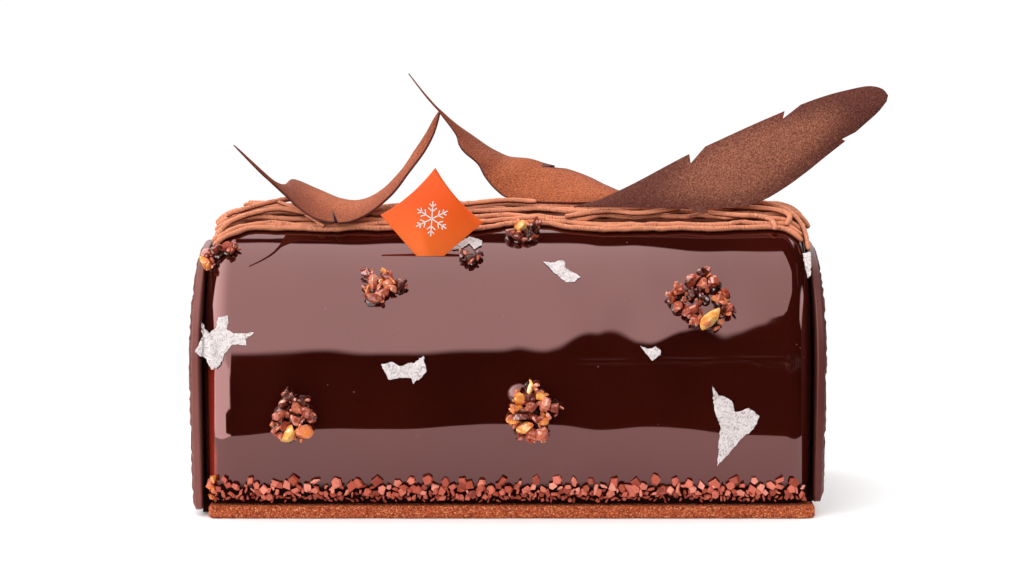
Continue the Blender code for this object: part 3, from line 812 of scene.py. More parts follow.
def biscuit_slab(finish):
    """The biscuit base, with crumbly edges."""
    low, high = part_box("biscuit_base")
    middle = (low + high) / 2
    half_x = high.x - middle.x
    half_y = high.y - middle.y
    corner = BASE_CORNER_RADIUS
    outline = []
    for part, (back, right) in enumerate(((1, 1), (1, -1), (-1, -1), (-1, 1))):
        for angle in steps(90.0 * part, 90.0 * part + 90.0, 6)[:-1]:
            a = math.radians(angle)
            outline.append(Vector((right * (half_x - corner) + corner * math.cos(a),
                                   back * (half_y - corner) + corner * math.sin(a))))
    fine = []
    for k, spot in enumerate(outline):
        following = outline[(k + 1) % len(outline)]
        count = max(int((following - spot).length / BASE_EDGE_STEP), 1)
        fine += [spot.lerp(following, part / count) for part in range(count)]
    height = high.z - low.z
    rings = []
    for share, inset in ((0.0, 0.0030), (0.0, 0.0007), (0.06, 0.0002), (0.2, 0.0), (0.36, 0.0), (0.52, 0.0),
                         (0.68, 0.0), (0.84, 0.0001), (0.95, 0.0004), (1.0, 0.0009), (1.0, 0.0030)):
        ring = []
        for spot in fine:
            z = low.z + height * share
            place = Vector((spot.x * 900.0, spot.y * 900.0, z * 900.0))
            rough = 0.00020 * noise.noise(place) + 0.00013 * noise.noise(place * 2.3)
            broad = 0.00035 * max(noise.noise(place * 0.12), 0.0)
            back = inset + broad + max(rough, -0.0001) * (1.0 if 0.0 < share < 1.0 else 0.3)
            x = middle.x + spot.x * (1.0 - back / half_x)
            y = middle.y + spot.y * (1.0 - back / half_y)
            lifted = z - (0.00018 * abs(noise.noise(place * 0.8)) if share >= 1.0 else 0.0)
            ring.append(Vector((x, y, lifted)))
        rings.append(ring)
    heap = Heap()
    heap.add(*skin_rings(rings))
    return heap.piece("biscuit_slab", finish, ("biscuit_base",))


def arch_outline(foot_z, top_z, half_width):
    """Outline of a plaque from the foot's middle round one side, over the top and back."""
    corner_y = PLAQUE_FOOT_HALF_WIDTH - PLAQUE_FOOT_ROUND
    corner_z = foot_z + PLAQUE_FOOT_ROUND
    half = [(y, foot_z) for y in steps(0.0, corner_y, 60)[:-1]]
    for angle in steps(0.0, 90.0, 6):
        a = math.radians(angle)
        y = corner_y + PLAQUE_FOOT_ROUND * math.sin(a)
        half.append((y, corner_z - PLAQUE_FOOT_ROUND * math.cos(a)))
    swell = half_width - PLAQUE_FOOT_HALF_WIDTH
    for part in steps(0.0, 1.0, 90)[1:-1]:
        y = PLAQUE_FOOT_HALF_WIDTH + swell * math.sin(part * math.pi / 2)
        half.append((y, corner_z + (PLAQUE_WIDEST_Z - corner_z) * part))
    for angle in steps(0.0, 90.0, 160):
        a = math.radians(angle)
        half.append((half_width * math.cos(a), PLAQUE_WIDEST_Z + (top_z - PLAQUE_WIDEST_Z) * math.sin(a)))
    return half + [(-y, z) for y, z in reversed(half[1:-1])]


def chip_depth(x, spot, side):
    """Depth of the bites along a plaque's hewn edge: many small ones and a few deep notches."""
    y, z = spot
    place = Vector((y * 420.0, z * 420.0, x * 260.0 + 9.0 * side))
    small = abs(noise.noise(place)) * PLAQUE_CHIP + abs(noise.noise(place * 0.45)) * PLAQUE_CHIP * 0.8
    notch = max(uneven(y, z, 105.0, 11.0 + side) - 0.30, 0.0) * 0.0085
    return small + notch


def hew_depth(arc, side):
    """How far the plaque's outer face is scooped back along its rim: knife marks of uneven depth."""
    mark = arc / SCOOP_PITCH + 1.6 * uneven(arc, 0.0, 70.0, 3.0 + side)
    number = math.floor(mark)
    share = mark - number
    strength = abs(uneven(number * 0.73, 0.31, 1.0, 6.0 + side))
    notch = 1.8 * max(uneven(arc, 0.0, 24.0, 31.0 + side) - 0.38, 0.0)
    return SCOOP_DEPTH * (0.1 + 1.3 * strength) * (1.0 - (2.0 * share - 1.0) ** 2) + MM * notch


def chocolate_plaque(label, side, finish):
    """A chocolate arch: a smooth moulded inner edge, then a hewn edge and a hewn outer face."""
    node = f"end_plaque_{label}"
    low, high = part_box(node)
    inner, outer = plaque_reach(side)
    outline = arch_outline(low.z, high.z, high.y)
    arcs = [0.0]
    for (y, z), (next_y, next_z) in zip(outline, outline[1:]):
        arcs.append(arcs[-1] + math.hypot(next_y - y, next_z - z))
    scoops = [hew_depth(arc, side) for arc in arcs]
    inner += PLAQUE_CLEAR
    outer_edge = outer - 0.0001
    smooth_x = inner + PLAQUE_SMOOTH
    thick = outer - smooth_x
    rings = []
    marks = []
    # Distance along the log, how far the outline is drawn in, and how rough it is there
    profile = (
        (inner, 0.0005, 0.0),
        (inner + 0.0001, 0.0002, 0.0),
        (inner + 0.0004, 0.0, 0.0),
        (smooth_x - 0.0003, 0.0, 0.0),
        (smooth_x, 0.0002, 0.0),
        (smooth_x + 0.0001, 0.0004, 0.3),
        (smooth_x + thick * 0.25, 0.0006, 0.7),
        (smooth_x + thick * 0.5, 0.0010, 0.9),
        (smooth_x + thick * 0.75, 0.0015, 1.0),
        (outer_edge, PLAQUE_RIM_SLOPE, 1.0),
    )
    for x, inset, hewn in profile:
        ring = []
        for (y, z), scoop in zip(outline, scoops):
            bite = inset + hewn * (chip_depth(x, (y, z), side) + scoop)
            shrink = 1.0 - bite / PLAQUE_FOOT_HALF_WIDTH
            back = 0.6 * min(scoop, thick) * ((x - smooth_x) / thick) if hewn else 0.0
            drawn_z = PLAQUE_WIDEST_Z + (z - PLAQUE_WIDEST_Z) * shrink
            ring.append(Vector((side * (x - back), y * shrink, drawn_z)))
        rings.append(ring)
        marks += [hewn] * len(ring)
    for share in steps(0.0, 1.0, 26)[1:-1]:
        ring = []
        close = 1.0 - share
        for (y, z), scoop in zip(outline, scoops):
            edge_bite = PLAQUE_RIM_SLOPE + chip_depth(outer_edge, (y, z), side) + scoop
            shrink = close - edge_bite / PLAQUE_FOOT_HALF_WIDTH * close ** 8
            flat_y = y * shrink
            flat_z = PLAQUE_WIDEST_Z + (z - PLAQUE_WIDEST_Z) * shrink
            hew = abs(uneven(flat_y, flat_z * 0.45, 150.0, 5.0 + side))
            hew += 0.35 * abs(uneven(flat_y, flat_z, 420.0, 8.0))
            depth = PLAQUE_HEW * min(hew * 1.5, 1.0) * ease(share, 0.0, 0.05)
            depth += 0.6 * min(scoop, thick) * (1.0 - ease(share, 0.0, 0.10))
            ring.append(Vector((side * (outer_edge - depth), flat_y, flat_z)))
        rings.append(ring)
        marks += [1.0] * len(ring)
    heap = Heap()
    heap.add(*skin_rings(rings), hewn=marks)
    return heap.piece(f"chocolate_plaque_{label}", finish, (node,), 30.0)


# Piped cream

def band_height(along, turn):
    """Height of the piped band's outline over the glaze."""
    across = min(max((turn - BAND_FRONT_TURN) / (BAND_BACK_TURN - BAND_FRONT_TURN), 0.0), 1.0)
    crown = 1.0 - (2.0 * across - 1.0) ** 2
    height = 1.2 * STRAND_RADIUS + (BAND_CREST_HEIGHT - 2.0 * STRAND_RADIUS) * crown
    height += 0.5 * STRAND_RADIUS * (1.0 + uneven(along, turn * 0.001, 90.0, 2.0))
    height -= PRESS_DEPTH * math.exp(-(((along - PRESS_ALONG) / PRESS_REACH) ** 2)) * crown
    return max(height, STRAND_RADIUS * 2.0)


def lay_strand(heap, spots, radius, seed, layer_shade=0.0):
    """Add a strand of cream along (distance, turn, lift) spots that lie close together.

    It is marked with its run and, from 0 on its outer side to 1 below, with its painted shade: darker on its
    underside, and dark nearly all round where it is a bed strand that the loose layer lies over.
    """
    centres = [on_cake(*spot) for spot in spots]
    rings = []
    runs = []
    painted_shades = []
    run = 0.0
    last = len(centres) - 1
    for k, centre in enumerate(centres):
        ahead = centres[min(k + 1, last)]
        behind = centres[max(k - 1, 0)]
        along = (ahead - behind).normalized()
        away = (on_cake(spots[k][0], spots[k][1], spots[k][2] + MM) - centre).normalized()
        across = along.cross(away).normalized()
        upward = across.cross(along)
        if k:
            run += (centre - centres[k - 1]).length
        swell = 0.14 * uneven(run, 0.0, 420.0, seed) + 0.10 * uneven(run, 0.0, 1300.0, seed + 0.5)
        girth = radius * (1.0 + swell)
        # Near the band's left end nothing lies over the bed, so the bed there gets no painted shade from the
        # layer
        layer_shade_here = layer_shade * ease(centre.x, BAND_LEFT + 0.0035, BAND_LEFT + 0.0095)
        caps = [(0.0, 1.0)]
        if k == 0:
            caps = [(-push, share) for push, share in reversed(ROUND_END)] + caps
        if k == last:
            caps += ROUND_END
        for push, share in caps:
            ring = []
            for side in range(STRAND_SIDES):
                a = 2.0 * math.pi * side / STRAND_SIDES
                reach = girth * share
                ring.append(centre + along * push * girth
                            + across * math.cos(a) * reach + upward * math.sin(a) * reach)
                painted_shades.append(layer_shade_here + (1.0 - layer_shade_here) * (0.5 - 0.5 * math.sin(a)))
            rings.append(ring)
            runs += [run + push * girth] * STRAND_SIDES
    heap.add(*skin_rings(rings), run=runs, under=painted_shades)


def smooth_run(spots, spacing):
    """Close-set spots on a smooth curve through a few (distance, turn, lift) spots."""
    knots = [Vector((along, turn / TURN_PER_METRE, lift)) for along, turn, lift in spots]
    length = sum((b - a).length for a, b in zip(knots, knots[1:]))
    fine = []
    for s in steps(0.0, 1.0, max(int(length / spacing), 4)):
        point = through(knots, s)
        fine.append((point.x, point.y * TURN_PER_METRE, point.z))
    return fine


def piped_lanes(heap):
    """Strands that run the length of the log: a bed of them, then a looser layer over it."""
    chance = random.Random(17)
    bed = steps(BAND_FRONT_TURN + 1.2, BAND_BACK_TURN - 1.2, 15)
    loose = steps(BAND_FRONT_TURN + 3.2, BAND_FRONT_TURN + 12.4, 2)
    loose += steps(BAND_FRONT_TURN + 16.0, BAND_BACK_TURN - 3.2, 12)
    for layer, turns in enumerate((bed, loose)):
        for lane, turn in enumerate(turns):
            seed = 10.0 * layer + lane * 1.37
            back = (BAND_SET_BACK + 0.0024) * ease(turn, 67.0, 80.0) * layer
            start = BAND_LEFT + back + chance.uniform(-0.0012, 0.0016)
            end = BAND_RIGHT - chance.uniform(-0.0010, 0.0030)
            sway = 1.4 + 2.0 * layer
            spots = []
            for along in steps(start, end, int((end - start) / LANE_STEP)):
                swing = uneven(along, 0.0, 45.0, seed) + 0.6 * uneven(along, 0.0, 120.0, seed + 4.0)
                swing = sway * swing + 0.55 * uneven(along, 0.0, 260.0, seed + 2.0)
                front = 1.0 - ease(turn, BAND_FRONT_TURN, BAND_FRONT_TURN + 20.0)
                room = BAND_GIVE_TURN * math.exp(-(((along - BAND_GIVE_ALONG) / BAND_GIVE_REACH) ** 2))
                droop = 7.0 * (ease(-along, 0.076, 0.090) + 0.6 * ease(along, 0.082, 0.091))
                here = turn + swing + (room - droop) * front
                lift = STRAND_RADIUS * (1.0 + 0.15 * uneven(along, 0.0, 80.0, seed))
                if layer:
                    bob = 0.0006 * uneven(along, 0.0, 70.0, seed + 7.0)
                    lift = max(band_height(along, here) - STRAND_RADIUS + bob, STRAND_RADIUS * 1.6)
                spots.append((along, here, lift))
            # Bed strands near the crest, under the loose layer, get painted shade
            inside = 0.0 if layer else 1.0 - ease(abs(turn - 90.0), 17.0, 22.0)
            lay_strand(heap, spots, STRAND_RADIUS * chance.uniform(0.90, 1.08), seed, LANE_LAYER_SHADE * inside)


# Loose strands: spots of distance along the log, turn and lift
LOOSE_STRANDS = (
    ((-0.0720, 84.0, 0.0046), (-0.0655, 77.0, 0.0040), (-0.0610, 72.0, 0.0030), (-0.0562, 66.5, 0.0022)),
    ((0.0620, 75.0, 0.0030), (0.0700, 72.5, 0.0031), (0.0760, 72.0, 0.0030), (0.0800, 70.0, 0.0026),
     (0.0812, 66.0, 0.0016)),
    ((0.0660, 79.0, 0.0040), (0.0750, 77.5, 0.0040), (0.0815, 76.5, 0.0036), (0.0850, 73.0, 0.0032),
     (0.0845, 68.5, 0.0022)),
    ((0.0700, 84.0, 0.0042), (0.0790, 82.0, 0.0042), (0.0850, 78.0, 0.0032), (0.0890, 70.0, 0.0024),
     (0.0908, 60.0, 0.0016)),
    ((-0.0620, 88.0, 0.0050), (-0.0680, 85.0, 0.0050), (-0.0740, 81.0, 0.0046), (-0.0800, 77.5, 0.0038),
     (-0.0850, 75.0, 0.0028)),
    ((-0.0540, 71.0, 0.0032), (-0.0620, 73.0, 0.0038), (-0.0700, 75.5, 0.0042), (-0.0780, 73.5, 0.0034),
     (-0.0840, 69.0, 0.0026), (-0.0880, 62.0, 0.0016)),
    ((-0.0250, 77.0, 0.0042), (-0.0120, 80.0, 0.0046), (-0.0010, 83.0, 0.0050), (0.0080, 81.0, 0.0050)),
    ((0.0180, 72.0, 0.0030), (0.0300, 74.5, 0.0038), (0.0400, 73.0, 0.0036), (0.0520, 76.0, 0.0042)),
)


def piped_cream(finish):
    """The band of piped strands, laid straight on the glaze."""
    heap = Heap()
    piped_lanes(heap)
    for number, spots in enumerate(LOOSE_STRANDS):
        thin = 0.72 if number == 0 else 1.0
        lay_strand(heap, smooth_run(spots, 0.0006), STRAND_RADIUS * thin, 50.0 + number)
    return heap.piece("piped_cream", finish, ("cream_strands",))


# Feathers

def through(points, s):
    """Point at s, from 0 to 1, of a smooth curve through the given points."""
    span = s * (len(points) - 1)
    first = min(int(span), len(points) - 2)
    t = span - first
    a, b, c, d = (points[min(max(first + k, 0), len(points) - 1)] for k in (-1, 0, 1, 2))
    return 0.5 * (2.0 * b + (c - a) * t + (2.0 * a - 5.0 * b + 4.0 * c - d) * t ** 2
                  + (3.0 * b - a - 3.0 * c + d) * t ** 3)


def blade_point(lows, highs, s, t):
    """Middle surface of a feather: s runs from quill to tip, t from the lower to the upper edge."""
    low = through(lows, s)
    high = through(highs, s)
    across = high - low
    ahead = through(lows, min(s + 0.01, 1.0))
    behind = through(lows, max(s - 0.01, 0.0))
    swell = (ahead - behind).cross(across).normalized()
    return low + across * t + swell * (FEATHER_CAMBER * across.length * 4.0 * t * (1.0 - t))


def blade_net(nicks):
    """Flat net of a feather's blade over s and t, with its nicks cut into the outline."""
    outline = []
    for edge in (0, 1):
        mine = [nick for nick in nicks if nick[0] == edge]
        row = []
        for s in steps(0.0, 1.0, BLADE_COLUMNS):
            if all(s < place - cut - NICK_CLEAR or s > place + slant + 0.002
                   for _, place, _, slant, cut in mine):
                row.append((s, s, float(edge)))
        for _, place, depth, slant, cut in mine:
            # The foot lies back under the barb's point, but follows it round the outline
            shoulder = place - cut - NICK_CLEAR / 2
            row.append((shoulder, shoulder, float(edge)))
            row.append((place, place, float(edge)))
            row.append((place + 0.001, place - cut, abs(edge - depth)))
            row.append((place + slant, place + slant, float(edge)))
        row.sort()
        spots = [(s, t) for _, s, t in row]
        outline += spots if edge == 0 else spots[::-1]
    points = [Vector((s, t * FEATHER_SLENDER)) for s, t in outline]
    loop = [(k, (k + 1) % len(points)) for k in range(len(points))]
    for s in steps(0.0, 1.0, BLADE_COLUMNS)[1:-1]:
        for t in BLADE_ROWS:
            if not any(place - cut - NICK_CLEAR < s < place + slant and abs(t - edge) < depth + 0.02
                       for edge, place, depth, slant, cut in nicks):
                points.append(Vector((s, t * FEATHER_SLENDER)))
    corners, _, faces, _, _, _ = delaunay_2d_cdt(points, loop, [], 1, 1e-7)
    spots = [(c.x, min(max(c.y / FEATHER_SLENDER, 0.0), 1.0)) for c in corners]
    return spots, [tuple(f) for f in faces]


def powder_on(s, t, spots):
    """How thickly some soft patches of powder lie at a place on a blade."""
    thickness = 0.0
    for place, across, reach, width, amount in spots:
        thickness += amount * math.exp(-(((s - place) / reach) ** 2) - (((t - across) / width) ** 2))
    return thickness


def feather(label, ribs, nicks, powder, bare, finish):
    """A thin bent chocolate blade with a bare rim."""
    lows = [Vector(rib[0]) for rib in ribs]
    highs = [Vector(rib[1]) for rib in ribs]
    net, triangles = blade_net(nicks)
    faces, open_edges = two_skins(triangles, len(net))
    border = {k for edge in open_edges for k in edge}
    over = []
    under = []
    rims = []
    powders = []
    for k, (s, t) in enumerate(net):
        centre = blade_point(lows, highs, s, t)
        ahead = blade_point(lows, highs, min(s + 0.004, 1.0), t)
        behind = blade_point(lows, highs, max(s - 0.004, 0.0), t)
        above = blade_point(lows, highs, s, min(t + 0.02, 1.0))
        below = blade_point(lows, highs, s, max(t - 0.02, 0.0))
        facing = (ahead - behind).cross(above - below).normalized()
        body = (1.0 - (2.0 * t - 1.0) ** 4) * min(s / QUILL_SHARE, 1.0)
        half = (FEATHER_EDGE_THICKNESS + (FEATHER_THICKNESS - FEATHER_EDGE_THICKNESS) * body) / 2
        half *= 1.0 + 0.10 * uneven(centre.x, centre.z, 260.0, 5.0)
        over.append(centre + facing * half)
        under.append(centre - facing * half)
        rims.append(1.0 if k in border else powder_on(s, t, bare))
        powders.append(powder_on(s, t, powder))
    heap = Heap()
    heap.add(over + under, faces, rim=rims + rims, powder=powders + powders)
    return heap.piece(f"dusted_feather_{label}", finish, (f"feather_{label}",), 40.0)


def barb_flap(finish):
    """A barb of the right feather that is bent down under it."""
    outline = ((0.0536, -0.0142, 0.0914), (0.0572, -0.0143, 0.0914), (0.0606, -0.0146, 0.0912),
               (0.0604, -0.0156, 0.0899), (0.0598, -0.0160, 0.0887), (0.0578, -0.0158, 0.0893),
               (0.0556, -0.0153, 0.0902))
    rings = [[Vector(spot) + Vector((0.0, depth, 0.0)) for spot in outline] for depth in (-0.0003, 0.0003)]
    points, faces = skin_rings(rings)
    heap = Heap()
    heap.add(points, faces, rim=0.3, powder=0.0)
    return heap.piece("barb_flap", finish, (), 30.0)


# Tag

def tag_turn():
    """The tag's place, its lean and its roll."""
    low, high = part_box("tag")
    lean = Matrix.Rotation(math.radians(TAG_LEAN), 4, "X")
    return Matrix.Translation((low + high) / 2) @ lean @ Matrix.Rotation(math.radians(TAG_ROLL), 4, "Y")


def orange_tag(finish):
    """A thin square tag standing on one corner, its two upper sides hollow."""
    half = TAG_SIDE / 2
    rings = []
    for depth, drawn_in in TAG_RIM:
        ring = []
        for edge in range(4):
            for part in steps(-1.0, 1.0, 20)[:-1]:
                hollow = TAG_BOW * (1.0 - part ** 2) * (edge >= 2)
                reach = half - drawn_in
                spot = Vector((part * reach, depth * TAG_THICKNESS, hollow - reach))
                ring.append(Matrix.Rotation(math.radians(-90.0 * edge), 3, "Y") @ spot)
        rings.append(ring)
    turned = tag_turn() @ Matrix.Rotation(math.radians(45.0), 4, "Y")
    points, faces = skin_rings(rings)
    heap = Heap()
    heap.add([turned @ point for point in points], faces)
    return heap.piece("orange_tag", finish, ("tag",), 40.0)


def tag_snowflake(finish):
    """A plain snowflake in fine raised lines on the tag's front."""
    lean = math.radians(FLAKE_BARB_ANGLE)
    strokes = []
    for k in range(6):
        way = Matrix.Rotation(math.radians(60.0 * k), 2)
        strokes.append((Vector((0.0, 0.0)), way @ Vector((0.0, FLAKE_ARM))))
        for place, barb in ((0.42, 0.0016), (0.70, 0.0012)):
            root = Vector((0.0, FLAKE_ARM * place))
            for side in (-1.0, 1.0):
                tip = root + Vector((side * barb * math.sin(lean), barb * math.cos(lean)))
                strokes.append((way @ root, way @ tip))
    heap = Heap()
    placed = tag_turn()
    for start, end in strokes:
        run = (end - start).normalized()
        side = Vector((-run.y, run.x)) * FLAKE_LINE
        start = start - run * FLAKE_LINE * 0.5
        end = end + run * FLAKE_LINE * 0.5
        corners = [start - side, end - side, end + side, start + side]
        rings = []
        for rise in (0.0, FLAKE_RISE):
            y = -TAG_THICKNESS / 2 - rise
            rings.append([placed @ Vector((corner.x, y, corner.y)) for corner in corners])
        heap.add(*skin_rings(rings))
    return heap.piece("tag_snowflake", finish, (), 40.0)


# Nibs, nuts and leaf

def chip(size, flat, slim, chance):
    """An angular chip: a flat block of four or five sides with a worn rim."""
    sides = chance.choice((4, 4, 5, 5, 6))
    start = chance.uniform(0.0, 2.0 * math.pi)
    outline = []
    for k in range(sides):
        a = start + 2.0 * math.pi * (k + chance.uniform(-0.24, 0.24)) / sides
        reach = size / 2 * chance.uniform(0.82, 1.18)
        outline.append(Vector((reach * math.cos(a), reach * math.sin(a) * slim, 0.0)))
    thick = size * flat
    lean = Vector((chance.uniform(-0.3, 0.3), chance.uniform(-0.3, 0.3), 0.0)) * thick
    rings = []
    for height, share in ((-0.5, 0.86), (-0.38, 1.0), (0.36, 0.97), (0.5, 0.85)):
        lifted = lean * height + Vector((0.0, 0.0, thick * height))
        rings.append([point * share + lifted for point in outline])
    return skin_rings(rings)


def tumble(chance, spread):
    """A random turn: small tilts for a small spread, any way round for 1."""
    tilt = math.pi * spread
    return (Matrix.Rotation(chance.uniform(0.0, 2.0 * math.pi), 4, "Z")
            @ Matrix.Rotation(chance.uniform(-tilt, tilt), 4, "X")
            @ Matrix.Rotation(chance.uniform(-tilt, tilt), 4, "Y"))


# Rows of nibs: height, stand off the glaze, pitch, smallest and largest size, share of thin slivers
NIB_ROWS = (
    (0.0060, 0.0008, 0.0014, 0.0012, 0.0020, 0.85),
    (0.0070, 0.0014, 0.0015, 0.0014, 0.0024, 0.75),
    (0.0082, 0.0018, 0.0019, 0.0018, 0.0030, 0.50),
    (0.0096, 0.0016, 0.0026, 0.0022, 0.0034, 0.30),
    (0.0112, 0.0012, 0.0056, 0.0024, 0.0036, 0.15),
)


def nib_row(name, node, front, finish):
    """Chopped nibs pressed along one long foot of the log."""
    low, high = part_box(node)
    chance = random.Random(5 if front else 6)
    heap = Heap()
    for z, proud, pitch, smallest, largest, slivers in NIB_ROWS:
        along = low.x + 0.0012
        while along < high.x - 0.001:
            size = chance.uniform(smallest, largest)
            height = z + chance.uniform(-0.0007, 0.0007)
            turn = (height - CAKE_WIDEST_Z) * TURN_PER_METRE
            if not front:
                turn = 180.0 - turn
            if chance.random() < slivers:
                slim = chance.uniform(0.28, 0.48)
                flat = chance.uniform(0.20, 0.35)
                spread = 0.38
            else:
                slim = chance.uniform(0.75, 1.0)
                flat = chance.uniform(0.30, 0.5)
                spread = 0.13
            points, faces = chip(size, flat, slim, chance)
            placed = seat(along, turn, proud * chance.uniform(0.6, 1.1)) @ tumble(chance, spread)
            # Painted shade: chips low on the foot get a darker tone
            tone = chance.random() * (0.45 + 0.55 * ease(height, 0.0055, 0.0090))
            heap.add([placed @ point for point in points], faces, tone=tone)
            along += pitch * chance.uniform(0.7, 1.35)
    return heap.piece(name, finish, (node,), 25.0)


def lump(sizes, facets, chance, detail=3):
    """A broken nut or nib: a lump with a few flat snapped faces."""
    round_points, faces = ball(detail)
    cuts = []
    for _ in range(facets):
        way = Vector((chance.gauss(0, 1), chance.gauss(0, 1), chance.gauss(0, 1))).normalized()
        cuts.append((way, chance.uniform(0.22, 0.40)))
    shift = Vector((chance.uniform(0, 50), chance.uniform(0, 50), chance.uniform(0, 50)))
    points = []
    for point in round_points:
        spot = point * (1.0 + 0.10 * noise.noise(point * 3.5 + shift))
        for way, reach in cuts:
            over = spot.dot(way) - reach
            if over > 0.0:
                spot = spot - way * over
        spot = spot * (1.0 + 0.05 * noise.noise(point * 11.0 + shift))
        points.append(Vector((spot.x * sizes[0], spot.y * sizes[1], spot.z * sizes[2])))
    return points, faces


# Nut clusters: the larger bits, as place along and up from the middle, lift, size (mm) and tone,
# from dark cocoa at 0 to golden nut at 1
CLUSTER_BITS = {
    1: ((-2.6, 2.6, 2.2, 3.6, 0.35), (0.2, 1.2, 2.6, 3.4, 0.20), (-3.2, -1.2, 2.4, 4.0, 0.85),
        (-1.8, -3.4, 2.0, 3.0, 0.75), (3.2, 2.0, 2.0, 4.2, 0.40), (4.6, 2.6, 1.6, 2.6, 0.30)),
    2: ((-4.4, 4.0, 2.0, 3.8, 0.28), (-2.4, 0.6, 2.2, 4.4, 0.50), (0.6, 4.8, 1.8, 2.4, 0.92),
        (1.2, 2.0, 2.4, 3.8, 0.30), (1.4, -0.4, 2.8, 4.2, 0.62), (4.8, 0.2, 1.8, 4.4, 0.22),
        (-2.6, -4.0, 2.2, 4.8, 0.45), (-0.4, -2.4, 2.0, 3.4, 0.40), (-5.0, -0.6, 1.0, 1.4, 1.0)),
    3: ((1.4, 8.2, 2.2, 4.0, 0.15), (-2.4, 6.0, 2.6, 3.6, 0.42), (4.6, 5.2, 2.8, 4.0, 0.40),
        (1.0, 4.2, 2.8, 3.4, 0.48), (-6.6, 2.6, 2.4, 4.4, 0.42), (-8.4, 0.4, 2.0, 3.2, 0.36),
        (-6.6, -2.2, 2.4, 4.2, 0.45), (-2.4, 1.6, 1.6, 3.2, 0.12), (7.4, 1.4, 2.4, 3.4, 0.38),
        (5.6, -0.6, 2.8, 3.6, 0.58), (8.6, -3.0, 2.2, 3.6, 0.42), (-2.4, -3.8, 3.0, 4.6, 0.40),
        (6.4, -3.6, 2.6, 3.4, 0.25), (-1.6, -6.6, 2.2, 3.6, 0.42), (2.9, -6.4, 3.4, 6.0, 0.93),
        (1.6, 0.0, 1.4, 3.0, 0.08)),
    4: ((-1.6, 6.4, 2.0, 3.4, 0.06), (2.4, 5.0, 2.2, 3.6, 0.10), (-3.0, 4.0, 2.2, 3.0, 0.22),
        (1.0, 3.4, 3.0, 3.6, 0.55), (-3.6, 1.4, 2.6, 4.0, 0.40), (3.4, 1.6, 2.8, 3.6, 0.42),
        (5.2, 0.4, 2.0, 3.4, 0.25), (0.8, -0.6, 3.2, 4.0, 0.48), (-2.6, -1.8, 3.0, 4.2, 0.42),
        (-5.2, -3.0, 2.2, 3.2, 0.45), (-1.4, -5.0, 3.0, 5.2, 0.93), (2.4, -4.0, 3.0, 4.8, 0.70)),
    5: ((-0.8, 7.2, 2.6, 4.0, 0.90), (-4.0, 4.4, 2.6, 4.2, 0.82), (-1.0, 5.0, 3.2, 3.6, 0.22),
        (2.4, 5.2, 2.6, 3.4, 0.88), (-0.6, 2.4, 3.4, 4.2, 0.40), (-5.0, 1.2, 2.4, 3.4, 0.76),
        (3.4, 3.0, 3.0, 4.2, 0.55), (6.2, 2.0, 2.8, 4.0, 0.35), (-3.4, -1.0, 3.0, 4.2, 0.24),
        (0.4, -1.2, 3.4, 4.0, 0.30), (-5.4, -2.2, 2.2, 3.4, 0.82), (3.4, -2.0, 3.0, 3.6, 0.80),
        (-2.2, -4.4, 3.0, 3.8, 0.80), (2.6, -5.8, 3.0, 5.4, 0.50), (0.0, -6.4, 2.4, 4.0, 0.48),
        (-3.4, -6.2, 1.8, 3.0, 0.15)),
    6: ((-4.0, -1.0, 2.2, 3.2, 0.30), (-0.6, 0.6, 3.0, 4.0, 0.90), (0.4, 2.6, 2.6, 2.6, 0.70),
        (2.6, 1.4, 2.6, 3.2, 0.15), (3.6, 3.2, 2.2, 2.6, 0.30), (1.6, -1.8, 2.0, 3.4, 0.08),
        (-1.6, -2.4, 1.8, 3.0, 0.25)),
    7: ((-1.6, 0.6, 1.6, 2.8, 0.10), (1.0, -0.6, 1.8, 3.6, 0.05), (2.6, 1.4, 1.4, 2.6, 0.08)),
}


def nut_cluster(number, finish):
    """A clump of caramelised nibs and nuts: large bits with shards between, and under each large bit a flat
    near-black lump that paints the shade in the gaps.
    """
    node = f"nut_cluster_{number}"
    along, turn = spot_of(node)
    chance = random.Random(40 + number)
    heap = Heap()

    def drop(u, v, lift, sizes, tone, facets, spread=1.0):
        points, faces = lump([size * MM for size in sizes], facets, chance, 3 if max(sizes) > 2.2 else 2)
        placed = seat(along + u * MM, turn + v * MM * TURN_PER_METRE, lift * MM) @ tumble(chance, spread)
        heap.add([placed @ point for point in points], faces, tone=tone)

    bits = CLUSTER_BITS[number]
    for u, v, lift, size, tone in bits:
        longest = size * chance.uniform(1.35, 1.65)
        sizes = (longest, longest * chance.uniform(0.62, 0.85), longest * chance.uniform(0.50, 0.75))
        drop(u, v, lift, sizes, tone, 13)
        # Painted shade: a flat near-black lump under each bit darkens the gaps
        drop(u, v, 0.4, (size * 1.05, size * 1.0, 1.8), 0.02, 3, 0.03)
    for u, v, lift, size, tone in bits:
        for _ in range(4):
            a = chance.uniform(0.0, 2.0 * math.pi)
            away = size * chance.uniform(0.30, 0.62)
            length = chance.uniform(1.5, 3.0)
            sizes = (length, length * chance.uniform(0.45, 0.8), length * chance.uniform(0.35, 0.7))
            own = chance.choice((0.12, 0.34, 0.48, 0.58, 0.62, 0.80))
            drop(u + away * math.cos(a), v + away * math.sin(a), lift * chance.uniform(0.45, 1.45),
                 sizes, own * 0.65 + tone * 0.35, 6)
    return heap.piece(node + "_bits", finish, (node,), 24.0)


# Beads of glaze beside the nuts: cluster, place along and up from its middle, and sizes in millimetres
BEADS = (
    (5, -3.8, 5.4, 7.2, 6.6),
    (4, -0.9, 5.2, 4.2, 3.4),
    (4, 2.6, 3.6, 4.0, 3.8),
    (3, 0.6, 7.6, 3.0, 2.8),
)


